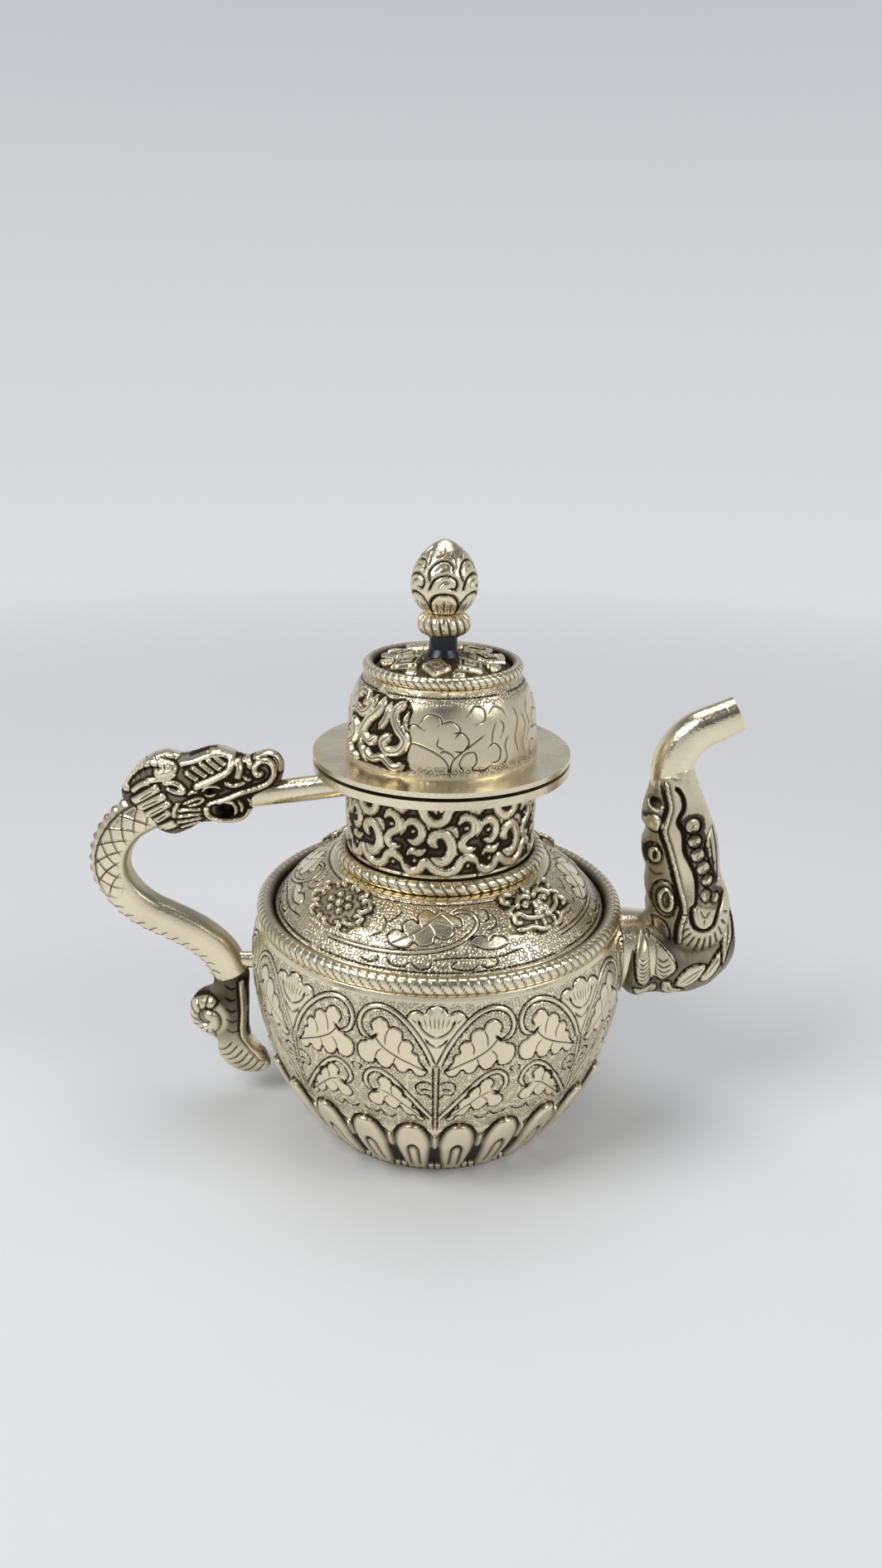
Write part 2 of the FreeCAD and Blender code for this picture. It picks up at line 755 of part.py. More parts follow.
def make_trunk():
    trunk = new_body("makara_trunk_form")
    stations = [
        ("elbow_flat", "makara_foot_width", "makara_foot_depth"),
        ("makara_length*0.5", "makara_foot_width*0.45+makara_neck_radius*0.55",
         "makara_foot_depth*0.45+makara_neck_radius*0.55"),
        ("makara_length", "makara_neck_radius", "makara_neck_radius"),
    ]
    sections = []
    for index, (height, wide, deep) in enumerate(stations):
        section = new_sketch(trunk, f"makara_section_{index}", "XY_Plane", height)
        oval(section, wide, deep)
        sections.append(section)
    loft(trunk, "makara_trunk", "AdditiveLoft", sections)
    for index, (height, size) in enumerate(((0.40, 1.0), (0.56, 0.9), (0.71, 0.8))):
        reach = f"makara_foot_width*{1 - 0.42 * height:.3f}-curl_radius*0.5"
        disc(trunk, f"curl_{index}", f"curl_radius*{size}", f"-({reach})", f"makara_length*{height}", "curl_width")
    lean(trunk, "0")
    return trunk


def make_ball(label, growth):
    ball = doc.addObject("Part::Ellipsoid", label)
    for key, size in (("Radius1", "elbow_radius"), ("Radius2", "elbow_radius"), ("Radius3", "elbow_depth")):
        ball.setExpression(key, bound(f"{size}+{growth}"))
    ball.Angle1 = -90
    ball.Angle2 = 90
    ball.Angle3 = 360
    place(ball, x="elbow_x", z="spout_height")
    return ball


def make_lappet(ball):
    # Shell-shaped lower end of the makara: a raised tongue that lies on both cheeks of the elbow
    stamp = new_body("lappet_stamp")
    left, right = "lappet_shift-lappet_width/2", "lappet_shift+lappet_width/2"
    foot = "lappet_width/2-lappet_drop"
    corners = [(left, foot), (right, foot), (right, "elbow_radius"), (left, "elbow_radius")]
    pad(stamp, "lappet", corners, {0: ("radius", "lappet_width/2+solder_gap", 1)}, "4*elbow_depth")
    lean(stamp, "0")
    tongue = doc.addObject("Part::Common", "lappet_tongue")
    tongue.Base = make_ball("lappet_ball", "lappet_relief")
    tongue.Tool = stamp
    return cut("lappet_skin", tongue, ball)


def make_makara_body(ball):
    joined = doc.addObject("Part::Fuse", "makara_casting")
    joined.Base = make_trunk()
    joined.Tool = make_lappet(ball)
    throat = doc.addObject("Part::Cone", "throat_cone")
    throat.setExpression("Radius1", bound("makara_bore"))
    throat.setExpression("Radius2", bound("tube_bore"))
    throat.setExpression("Height", bound("makara_length"))
    lean(throat, "0")
    return cut("makara_body", joined, throat)


def make_elbow_and_collar(bowl_form, ball, makara):
    inlet = rod("inlet_rod", "collar_bore", "bowl_radius+spout_reach")
    turn(inlet, Vector(0, 1, 0), "90")
    place(inlet, z="spout_height")
    outlet = rod("outlet_rod", "makara_bore", "elbow_radius")
    lean(outlet, "0")
    top = rod("elbow_top_rod", "2*elbow_radius", "elbow_radius")
    lean(top, "elbow_flat")
    elbow = cut("spout_elbow", ball, inlet, outlet, top)
    cone = doc.addObject("Part::Cone", "collar_cone")
    cone.setExpression("Radius1", bound("collar_root_radius"))
    cone.setExpression("Radius2", bound("collar_end_radius"))
    cone.setExpression("Height", bound("spout_reach+collar_tuck"))
    turn(cone, Vector(0, 1, 0), "90")
    place(cone, x="bowl_radius-collar_tuck", z="spout_height")
    collar = cut("spout_collar", cone, inlet, bowl_form, ball, makara)
    return [elbow, collar]


def make_spout_tube():
    spout = new_body("spout_tube")
    path = new_sketch(spout, "tube_path")
    radius = number("tube_bend_radius")
    swing = math.radians(number("tube_turn"))
    centre = Vector(radius, 0)
    arc = path.addGeometry(Part.ArcOfCircle(Part.Circle(centre, Vector(0, 0, 1), radius), math.pi - swing, math.pi))
    start = centre + Vector(-math.cos(swing), math.sin(swing)) * radius
    lip = path.addGeometry(Part.LineSegment(
        start, start + Vector(math.sin(swing), math.cos(swing)) * number("tube_lip_length")))
    path.addConstraint(Sketcher.Constraint("Coincident", arc, 2, -1, 1))
    pin(path, arc, 3, "tube_bend_radius", "0")
    limit(path, "DistanceX", -1, 1, arc, 1, size="tube_bend_radius*(1-cos(tube_turn))")
    path.addConstraint(Sketcher.Constraint("Tangent", lip, 1, arc, 1))
    limit(path, "Distance", lip, size="tube_lip_length")
    end_x = "tube_bend_radius*(1-cos(tube_turn))+tube_lip_length*sin(tube_turn)"
    end_z = "tube_bend_radius*sin(tube_turn)+tube_lip_length*cos(tube_turn)"
    for kind, name, foot_size, lip_size in (
        ("AdditivePipe", "tube_wall", "makara_neck_radius", "tube_lip_radius"),
        ("SubtractivePipe", "tube_channel", "tube_bore", "tube_bore"),
    ):
        foot = new_sketch(spout, name + "_foot", "XY_Plane")
        ring(foot, foot_size)
        mouth = aimed_sketch(spout, name + "_mouth", end_x, end_z, "tube_turn")
        ring(mouth, lip_size)
        doc.recompute()
        add(spout, kind, name, foot, Spine=(path, ["Edge1", "Edge2"]), Sections=[(mouth, [""])],
            Transformation="Multisection")
    lean(spout, "makara_length")
    return spout


def make_spout(bowl_form):
    ball = make_ball("elbow_ball", "0")
    makara = make_makara_body(ball)
    return [makara, *make_elbow_and_collar(bowl_form, ball, makara), make_spout_tube()]


def make_pot():
    bowl_form = make_bowl_form()
    belt = cord("belt_cord", "belt_ring", "belt_cord_size", "mouth_height")
    shell = [make_base_plate(), make_bowl(), make_lotus_band(), belt, make_shoulder()]
    return shell + make_medallions() + make_neck() + make_handle(bowl_form) + make_spout(bowl_form)


def make_lid():
    plate = tube("lid_plate", "rim_radius", "bezel_bore", "lid_base", "dome_base")
    bezel = tube("lid_bezel", "bezel_radius", "bezel_bore", "lid_base-bezel_depth", "lid_base")
    edge_cord = cord("lid_cord", "lid_cord_ring", "lid_cord_size", "dome_top")
    return [plate, bezel, make_lid_dome(), edge_cord, make_lid_crown(), make_crown_petals(), *make_finial()]


pieces = make_pot() + make_lid()
doc.recompute()
failed = [item.Label for item in doc.Objects if {"Invalid", "Error"} & set(item.State)]
failed += [piece.Label for piece in pieces if piece.Shape.isNull() or not piece.Shape.isValid()]
if failed:
    raise RuntimeError("not built: " + ", ".join(failed))
os.makedirs("parts", exist_ok=True)
for piece in pieces:
    piece.Shape.exportStep(f"parts/{piece.Label}.step")
    print(piece.Label, len(piece.Shape.Solids), round(piece.Shape.Volume, 1))
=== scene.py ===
import bpy
import math
import numpy as np
from mathutils import Matrix, Vector, kdtree
from mathutils.geometry import delaunay_2d_cdt


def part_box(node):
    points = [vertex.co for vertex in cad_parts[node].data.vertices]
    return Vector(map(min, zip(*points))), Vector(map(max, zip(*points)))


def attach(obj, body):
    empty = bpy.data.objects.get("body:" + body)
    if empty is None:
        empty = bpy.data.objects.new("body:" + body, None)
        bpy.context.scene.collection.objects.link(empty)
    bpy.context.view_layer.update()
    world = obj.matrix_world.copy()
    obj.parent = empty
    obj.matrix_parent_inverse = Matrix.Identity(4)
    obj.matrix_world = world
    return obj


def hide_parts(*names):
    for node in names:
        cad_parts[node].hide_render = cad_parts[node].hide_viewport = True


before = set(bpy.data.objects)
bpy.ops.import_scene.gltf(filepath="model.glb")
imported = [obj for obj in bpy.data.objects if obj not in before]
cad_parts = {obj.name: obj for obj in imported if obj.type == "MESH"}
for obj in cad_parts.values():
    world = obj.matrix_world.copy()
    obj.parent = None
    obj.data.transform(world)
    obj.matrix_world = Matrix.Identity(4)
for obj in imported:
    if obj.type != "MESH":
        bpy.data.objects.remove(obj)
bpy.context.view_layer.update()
scene = bpy.context.scene
mm = 0.001  # the lists below are in millimetres, the scene in metres
weldGap = 0.002
castSpacing, wallSpacing = 0.42, 1.1  # width of a triangle on castings and on engraved walls
fullTurn = 2 * math.pi
front = -fullTurn / 4  # direction in which the camera stands


def formed(name, points, faces, patinaAndShade, matted=(), plan=()):
    # Mesh from rows of points, with its layers of values per point, welded and shaded smooth
    mesh = bpy.data.meshes.new(name)
    mesh.from_pydata((np.vstack(points) * mm).tolist(), [], faces)
    for label, values in (("patinaAndShade", patinaAndShade), ("matted", matted)):
        if len(values):
            layer = mesh.attributes.new(label, "FLOAT", "POINT")
            layer.data.foreach_set("value", np.float32(np.hstack(values)))
    if len(plan):
        layer = mesh.attributes.new("plan", "FLOAT_VECTOR", "POINT")
        layer.data.foreach_set("vector", np.float32(np.vstack(plan)).ravel())
    piece = bpy.data.objects.new(name, mesh)
    scene.collection.objects.link(piece)
    bpy.ops.object.select_all(action="DESELECT")
    piece.select_set(True)
    bpy.context.view_layer.objects.active = piece
    bpy.ops.object.mode_set(mode="EDIT")
    bpy.ops.mesh.select_all(action="SELECT")
    bpy.ops.mesh.remove_doubles(threshold=weldGap * mm)
    bpy.ops.mesh.normals_make_consistent(inside=False)
    bpy.ops.object.mode_set(mode="OBJECT")
    bpy.ops.object.shade_smooth()
    return piece


def dress(piece, body, slotName, metal, *nodes):
    piece.data.materials.clear()
    piece.data.materials.append(metal)
    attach(piece, body)
    if nodes:
        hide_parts(*nodes)
    print("made", piece.name, len(piece.data.polygons), "faces")


# Measures and placings that all pieces share
def runAlong(line):
    return np.r_[0, np.cumsum(np.linalg.norm(np.diff(line, axis=0), axis=1))]


def pointTree(points):
    tree = kdtree.KDTree(len(points))
    for index, (x, y) in enumerate(points):
        tree.insert((x, y, 0), index)
    tree.balance()
    return tree


def around(radius, angles, level):
    return np.column_stack([radius * np.cos(angles), radius * np.sin(angles), level * np.ones(len(angles))])


def carried(at, s, angles, lift):
    # Points that stand off a turned profile by the given lift
    r, z, outward, upward = at(s)
    return around(r + outward * lift, angles, z + upward * lift)


def shifted(faces, base):
    return [[index + base for index in face] for face in faces]


# Lines drawn with a chasing tool, and leaves drawn with such lines
def smoothLine(points, step=0.4, closed=False):
    knots = np.array(points, float)
    if closed:
        knots = np.vstack([knots[-1:], knots, knots[:2]])
    else:
        knots = np.vstack([2 * knots[:1] - knots[1:2], knots, 2 * knots[-1:] - knots[-2:-1]])
    rows = []
    for a, b, c, d in zip(knots, knots[1:], knots[2:], knots[3:]):
        count = max(1, int(round(np.linalg.norm(c - b) / step)))
        t = (np.arange(count) / count)[:, None]
        bend = (2 * a - 5 * b + 4 * c - d) * t ** 2 + (3 * b - a - 3 * c + d) * t ** 3
        rows.append(0.5 * (2 * b + (c - a) * t + bend))
    if not closed:
        rows.append(knots[-2:-1])
    return np.vstack(rows)


def sideways(line):
    along = np.gradient(line, axis=0)
    along /= np.linalg.norm(along, axis=1)[:, None] + 1e-9
    return np.column_stack([-along[:, 1], along[:, 0]])


def stroke(points, width, height, closed=False, taper=1.2, step=0.4):
    # A ridge where the height is above zero, else a groove; open ends run out to a third of the width
    line = smoothLine(points, step, closed)
    ease = np.ones(len(line))
    if not closed:
        run = runAlong(line)
        ease = np.clip(np.minimum(run, run[-1] - run) / taper + 0.35, 0.35, 1)
    return {"line": line, "width": width * ease, "height": height * ease}


def bead(x, z, size, height):
    line = np.array([(x, z), (x + 0.05, z + 0.05)])
    return {"line": line, "width": np.full(2, size), "height": np.full(2, height)}


def mirrored(strokes):
    return strokes + [dict(item, line=item["line"] * (-1, 1)) for item in strokes]


def lobedLeaf(drawing, cut):
    # Round lobes along both sides of a spine, and the smooth ground between them
    lines = [stroke(drawing["spine"], cut * 0.75, -cut * 0.8)]
    lobes = drawing["upper"] + drawing["lower"]
    lines += [stroke(lobe, cut, -cut * 1.15, taper=0.5, step=0.35) for lobe in lobes]
    lines += [stroke(vein, cut * 0.65, -cut * 0.65, taper=0.8, step=0.35) for vein in drawing["veins"]]
    upper = np.vstack([smoothLine(lobe, 0.35) for lobe in drawing["upper"]])
    lower = np.vstack([smoothLine(lobe, 0.35) for lobe in drawing["lower"]])
    return lines, np.vstack([upper, lower[::-1]])


def inside(outline, points):
    x, y = points[:, 0], points[:, 1]
    hit = np.zeros(len(points), bool)
    for (ax, ay), (bx, by) in zip(outline, np.roll(outline, -1, axis=0)):
        cross = (ay > y) != (by > y)
        hit ^= cross & (x < (bx - ax) * (y - ay) / (by - ay + 1e-12) + ax)
    return hit


def strokeField(strokes):
    lines = np.vstack([item["line"] for item in strokes])
    widths = np.concatenate([item["width"] for item in strokes])
    heights = np.concatenate([item["height"] for item in strokes])
    tree = pointTree(lines)
    skirt = 0.75
    reach = widths.max() + skirt

    def at(points):
        # depth of grooves, height of ridges, and how close the bare ground lies to a ridge
        low, high, close = np.zeros((3, len(points)))
        for row, (x, y) in enumerate(points):
            for _, index, gap in tree.find_range((x, y, 0), reach):
                width = widths[index]
                if heights[index] > 0:
                    close[row] = max(close[row], 1 - max(gap - width, 0) / skirt)
                if gap < width:
                    share = gap / width
                    if heights[index] < 0:
                        low[row] = min(low[row], heights[index] * (1 - share))
                    else:
                        high[row] = max(high[row], heights[index] * math.sqrt(1 - share * share))
        return low, high, close * (high < 0.25)
    return at


def lattice(outline, spacing):
    low, high = outline.min(0), outline.max(0)
    xs = np.arange(low[0], high[0], spacing)
    ys = np.arange(low[1], high[1], spacing * 0.866)
    rows = [np.column_stack([xs + row % 2 * spacing / 2, np.full(len(xs), y)]) for row, y in enumerate(ys)]
    return np.vstack(rows)


def planMesh(outline, strokes, spacing, margin=0.25, sides=(0, 1, -1)):
    # Flat triangles over an outline, with an edge along every stroke and along both its sides
    outline = np.asarray(outline, float)
    points = [tuple(p) for p in outline]
    edges = [(i, (i + 1) % len(outline)) for i in range(len(outline))]
    rim = pointTree(outline)

    def clear(line):
        keep = inside(outline, line)
        return keep & np.array([rim.find((x, y, 0))[2] > margin for x, y in line])

    taken = []
    for item in strokes:
        normal = sideways(item["line"])
        for side in sides:
            line = item["line"] + normal * (item["width"] * side)[:, None]
            keep = clear(line)
            taken.append(line[keep])
            last = None
            for point, good in zip(line, keep):
                if not good:
                    last = None
                    continue
                points.append(tuple(point))
                if last is not None:
                    edges.append((last, len(points) - 1))
                last = len(points) - 1
    grid = lattice(outline, spacing)
    grid = grid[clear(grid)]
    if taken:
        tree = pointTree(np.vstack(taken))
        grid = np.array([p for p in grid if tree.find((*p, 0))[2] > spacing * 0.45]).reshape(-1, 2)
    points += [tuple(p) for p in grid]
    made = delaunay_2d_cdt([Vector(p) for p in points], edges, [], 1, 1e-4)
    plan = np.array([tuple(v) for v in made[0]])
    onRim = np.array([rim.find((x, y, 0))[2] < 1e-3 for x, y in plan])
    return plan, [list(face) for face in made[2]], onRim


def inflated(outline, cell=0.4, rounds=1500):
    # Height of a skin blown up over an outline: round across a strip, zero along the rim
    low = outline.min(0) - 2 * cell
    size = np.ceil((outline.max(0) - low) / cell).astype(int) + 3
    xs, ys = (low[axis] + cell * np.arange(size[axis]) for axis in (0, 1))
    xs, ys = np.meshgrid(xs, ys, indexing="ij")
    mask = inside(outline, np.column_stack([xs.ravel(), ys.ravel()])).reshape(xs.shape)
    skin = np.zeros(xs.shape)
    for _ in range(rounds):
        spread = skin[:-2, 1:-1] + skin[2:, 1:-1] + skin[1:-1, :-2] + skin[1:-1, 2:]
        skin[1:-1, 1:-1] = mask[1:-1, 1:-1] * (spread / 4 + cell * cell)

    def at(points):
        where = (points - low) / cell
        corner = np.clip(where.astype(int), 0, size - 2)
        part = where - corner
        i, j = corner.T
        u, v = part.T
        value = (skin[i, j] * (1 - u) * (1 - v) + skin[i + 1, j] * u * (1 - v)
                 + skin[i, j + 1] * (1 - u) * v + skin[i + 1, j + 1] * u * v)
        return np.sqrt(np.maximum(value, 0) / 2)
    return at


def twoFaced(name, outline, strokes, fullness, dark, pits=()):
    # Casting with the same chased relief on both flanks, in the upright plane of handle and spout
    rim = smoothLine(outline, 0.4, closed=True)
    plan, faces, onRim = planMesh(rim, strokes, castSpacing)
    low, high, close = strokeField(strokes)(plan)
    body = inflated(rim)(plan) * (fullness(plan) if callable(fullness) else fullness)
    ground = dark(plan) if callable(dark) else dark
    deep = np.zeros(len(plan))
    for x, z, radius in pits:
        away = np.hypot(plan[:, 0] - x, plan[:, 1] - z) / radius
        deep = np.maximum(deep, np.clip(1.6 - 1.6 * away, 0, 1))
    ease = np.clip(body / (body.max() * 0.35 + 1e-6), 0, 1)
    depth = np.maximum(body + (low + high) * ease, 0.02 * body) * (1 - 0.8 * deep)
    depth[onRim] = 0
    flanks = [np.column_stack([plan[:, 0], side * depth, plan[:, 1]]) for side in (-1, 1)]
    turnedOver = shifted([face[::-1] for face in faces], len(plan))
    # close paints shade on the bare ground at the foot of each ridge: painted contact shade, added to the
    # patina of the hollows
    tone = np.clip(ground * (1 - high / 0.5), 0, 1) + 0.75 * close
    # the pits are pressed in only a little and painted fully dark: painted shade inside the mouth, the eye
    # and the hollow; the grooves darken with patina
    tone = np.clip(np.maximum(np.maximum(tone, -low / 0.45), deep), 0, 1)
    return formed(name, flanks, faces + turnedOver, [tone, tone])


# Turned forms: a profile is a list of (radius, height)
def arcPoints(first, last, level, count):
    # Arc between two profile points whose centre lies at the given height
    (ax, az), (bx, bz) = first, last
    cx = (bx * bx - ax * ax + (level - bz) ** 2 - (level - az) ** 2) / (2 * (bx - ax))
    radius = math.hypot(ax - cx, az - level)
    start, end = math.atan2(az - level, ax - cx), math.atan2(bz - level, bx - cx)
    return [(cx + radius * math.cos(a), level + radius * math.sin(a)) for a in np.linspace(start, end, count)]


def alongProfile(profile):
    profile = np.asarray(profile, float)
    run = runAlong(profile)

    def spot(s):
        return np.array([np.interp(s, run, profile[:, column]) for column in (0, 1)])

    def at(s):
        # radius and height at a run along the profile, and both parts of the outward normal there
        s = np.asarray(s, float)
        dr, dz = spot(np.clip(s + 0.3, 0, run[-1])) - spot(np.clip(s - 0.3, 0, run[-1]))
        size = np.hypot(dr, dz) + 1e-9
        return (*spot(s), dz / size, -dr / size)
    return at, run[-1]


def ringFaces(rows, columns, closed):
    faces = []
    for row in range(rows if closed else rows - 1):
        a, b = row * columns, ((row + 1) % rows) * columns
        for column in range(columns):
            nextOne = (column + 1) % columns
            faces.append([a + column, a + nextOne, b + nextOne, b + column])
    return faces


def plateOn(name, outline, strokes, rise, place, copies, spacing, dark, back=0.3):
    # Raised plate, or several, whose flat plan is carried onto a curved surface
    rim = smoothLine(outline, 0.45, closed=True)
    plan, faces, onRim = planMesh(rim, strokes, spacing)
    low, high, close = strokeField(strokes)(plan)
    body = np.minimum(inflated(rim)(plan) * 1.3, rise)
    lift = np.where(onRim, -back, body + low + high)
    # close paints shade on the ground beside the ridges: painted contact shade
    tone = np.clip(np.maximum(dark * (1 - high / 0.4) + 0.7 * close, -low / 0.4), 0, 1)
    count = len(plan)
    points, allFaces = [], []
    for copy in range(copies):
        points += [place(plan, lift, copy), place(plan, np.full(count, -back), copy)]
        base = 2 * count * copy
        allFaces += shifted(faces, base) + shifted([face[::-1] for face in faces], base + count)
    return formed(name, points, allFaces, [tone, np.zeros(count)] * copies)


def sectorRelief(name, outer, inner, sectors, perSector, strokes, radius, dark, spacing):
    # A turned wall whose outer face carries one sector's relief, repeated around without a seam
    _, length = alongProfile(outer)
    pitch = fullTurn / sectors
    half = radius * pitch / 2
    runs = np.linspace(0, length, int(length / spacing))
    across = (np.arange(perSector) / perSector * 2 - 1) * half
    plan = np.array([(u, s) for s in runs for u in across])
    shifts = [(shift * 2 * half, 0) for shift in (-1, 0, 1)]
    neighbours = [dict(item, line=item["line"] + shift) for item in strokes for shift in shifts]
    low, high, close = strokeField(neighbours)(plan)
    # close paints shade on the ground beside the ridges: painted contact shade
    tone = np.clip(np.maximum(dark * (1 - high / 0.35) + 0.6 * close, -low / 0.35), 0, 1)
    lift, tone = (np.tile(values.reshape(len(runs), perSector), sectors) for values in (low + high, tone))

    def heightAt(angles, share, row):
        return lift[row], tone[row]
    return turnedRelief(name, outer, inner, sectors * perSector, heightAt, spacing, front - pitch / 2)


def turnedRelief(name, outer, inner, columns, heightAt, spacing=0.4, phase=0):
    # A turned wall whose outer face carries a relief; the inner points close it
    at, length = alongProfile(outer)
    runs = np.linspace(0, length, max(3, int(length / spacing)))
    angles = np.arange(columns) / columns * fullTurn + phase
    unrolled = angles * at(runs)[0].mean()
    rows, tones, plans = [], [], []
    for row, s in enumerate(runs):
        lift, tone = heightAt(angles, s / length, row)
        rows.append(carried(at, s, angles, lift))
        tones.append(tone * np.ones(columns))
        plans.append(np.column_stack([unrolled, np.full(columns, s), np.zeros(columns)]))
    for radius, level in inner:
        rows.append(around(radius, angles, level))
        tones.append(np.zeros(columns))
        plans.append(np.zeros((columns, 3)))
    return formed(name, rows, ringFaces(len(rows), columns, bool(inner)), tones, plan=plans)


def engravedWall(name, profile, band, inner, sectors, strokes, leaves, divisions, sink=0.12, ground=0):
    # A turned wall whose band, from one run to another, carries one drawn motif, repeated around
    at, length = alongProfile(profile)
    start, stop = band
    middle = at((start + stop) / 2)[0]
    pitch = fullTurn / sectors
    half = middle * pitch / 2
    tall = stop - start
    across = np.linspace(-half, half, divisions + 1)
    upright = np.linspace(0, tall, int(tall / 0.7) + 1)
    rim = [(u, 0) for u in across] + [(half, v) for v in upright[1:]]
    rim += [(u, tall) for u in across[::-1][1:]] + [(-half, v) for v in upright[::-1][1:-1]]
    # a second edge beside each groove keeps the leaf faces flat and the groove crisp
    plan, faces, _ = planMesh(np.array(rim), strokes, wallSpacing, margin=0.3, sides=(0, 1, -1, 1.5, -1.5))
    count = len(plan)
    low, high, _ = strokeField(strokes)(plan)
    smooth = np.zeros(count, bool)
    for leaf in leaves:
        smooth |= inside(np.asarray(leaf), plan)
    ends = (plan[:, 1] < 1e-4) | (plan[:, 1] > tall - 1e-4)
    lift = np.where(ends, 0, low + high - np.where(smooth, 0, sink))
    tone = np.clip(ground - low / 0.2, 0, 1)
    matted = np.where(smooth | ends, 0, 1)
    points, allFaces, plans = [], [], []
    for sector in range(sectors):
        angle = plan[:, 0] / middle + sector * pitch + front
        points.append(carried(at, plan[:, 1] + start, angle, lift))
        allFaces += shifted(faces, sector * count)
        plans.append(np.column_stack([plan[:, 0] + sector * 2 * half, plan[:, 1], np.zeros(count)]))

    def plain(first, last, rows):
        return list(zip(*at(np.linspace(first, last, rows))[:2]))
    columns = sectors * divisions
    angles = np.arange(columns) / columns * fullTurn - pitch / 2 + front
    rest = plain(stop, length, 8) + list(inner) + plain(0, start, 10)
    points += [around(r, angles, z) for r, z in rest]
    allFaces += shifted(ringFaces(len(rest), columns, False), sectors * count)
    spare = np.zeros(len(rest) * columns)
    plans.append(np.zeros((len(spare), 3)))
    return formed(name, points, allFaces, [tone] * sectors + [spare], [matted] * sectors + [spare], plans)


# Finishes
whiteMetal = {
    "clean": (0.93, 0.83, 0.6, 1), "dark": (0.035, 0.024, 0.013, 1), "cloud": (70, 4), "grain": (1400, 3),
    "scratch": (420, 6, (1, 1, 0.25)), "cloudless": 0.42, "ringScale": 0.78, "ringScatter": 0.75,
    "ringRadius": 0.34, "ringEdge": 5.5, "groundSoil": 0.05, "bump": 0.35, "bumpHeight": 0.00025,
}


def addNode(tree, kind, sockets, **settings):
    # A plain value is set on its socket, and another node's output is linked to it
    node = tree.nodes.new("ShaderNode" + kind)
    for name, value in settings.items():
        setattr(node, name, value)
    for key, value in sockets.items():
        if isinstance(value, bpy.types.NodeSocket):
            tree.links.new(value, node.inputs[key])
        else:
            node.inputs[key].default_value = value
    return node


def mathNode(tree, operation, first, second=0, clamp=False):
    return addNode(tree, "Math", {0: first, 1: second}, operation=operation, use_clamp=clamp).outputs[0]


def agedMetal(name, clean=whiteMetal["clean"], gloss=0.15, tarnish=0.45, ringPunch=0):
    metal = bpy.data.materials.new(name)
    metal.use_nodes = True
    tree = metal.node_tree
    shader = tree.nodes["Principled BSDF"]
    shader.inputs["Metallic"].default_value = 1
    place = addNode(tree, "TexCoord", {}).outputs["Object"]

    def noise(scale, detail, stretch=(1, 1, 1)):
        mapped = addNode(tree, "Mapping", {"Scale": stretch, "Vector": place}).outputs[0]
        return addNode(tree, "TexNoise", {"Scale": scale, "Detail": detail, "Vector": mapped}).outputs["Fac"]

    def stored(attribute, output="Fac"):
        return addNode(tree, "Attribute", {}, attribute_name=attribute).outputs[output]

    def times(first, second, clamp=False):
        return mathNode(tree, "MULTIPLY", first, second, clamp)

    def plus(first, second, clamp=False):
        return mathNode(tree, "ADD", first, second, clamp)

    def minus(first, second, clamp=False):
        return mathNode(tree, "SUBTRACT", first, second, clamp)
    bloom = times(minus(noise(*whiteMetal["cloud"]), whiteMetal["cloudless"]), tarnish, clamp=True)
    # the stored layer holds the patina of the hollows together with painted shade
    shade = plus(stored("patinaAndShade"), bloom, clamp=True)
    height = noise(*whiteMetal["grain"])
    if ringPunch:
        # small rings struck close together over the matted ground
        matted = stored("matted")
        spread = {"Scale": whiteMetal["ringScale"], "Randomness": whiteMetal["ringScatter"],
                  "Vector": stored("plan", "Vector")}
        cells = addNode(tree, "TexVoronoi", spread, voronoi_dimensions="2D")
        off = mathNode(tree, "ABSOLUTE", minus(cells.outputs["Distance"], whiteMetal["ringRadius"]))
        ring = times(minus(1, times(off, whiteMetal["ringEdge"]), clamp=True), matted)
        soil = plus(times(ring, ringPunch), times(matted, whiteMetal["groundSoil"]))
        shade = plus(shade, soil, clamp=True)
        height = minus(times(height, 0.4), ring)
    mix = addNode(tree, "Mix", {}, data_type="RGBA")
    mix.inputs[6].default_value = clean
    mix.inputs[7].default_value = whiteMetal["dark"]
    tree.links.new(shade, mix.inputs[0])
    tree.links.new(mix.outputs[2], shader.inputs["Base Color"])
    scratch = noise(*whiteMetal["scratch"])
    rough = plus(plus(times(shade, 0.35), gloss), times(scratch, 0.12))
    tree.links.new(rough, shader.inputs["Roughness"])
    bump = addNode(tree, "Bump", {"Strength": whiteMetal["bump"], "Distance": whiteMetal["bumpHeight"],
                                  "Height": height})
    tree.links.new(bump.outputs[0], shader.inputs["Normal"])
    return metal


chased = agedMetal("chasedWhiteMetal", ringPunch=0.55, tarnish=0.32)
cast = agedMetal("castWhiteMetal", gloss=0.16, tarnish=0.9)
polished = agedMetal("polishedWhiteMetal", gloss=0.1, tarnish=0.4)
# a dark bluish grey, given to the finial stem
bluishDark = agedMetal("bluishDarkStem", clean=(0.045, 0.05, 0.065, 1), gloss=0.25)
darkBrown = agedMetal("darkBrownGround", clean=(0.16, 0.13, 0.085, 1), gloss=0.35)
print("finishes ready")

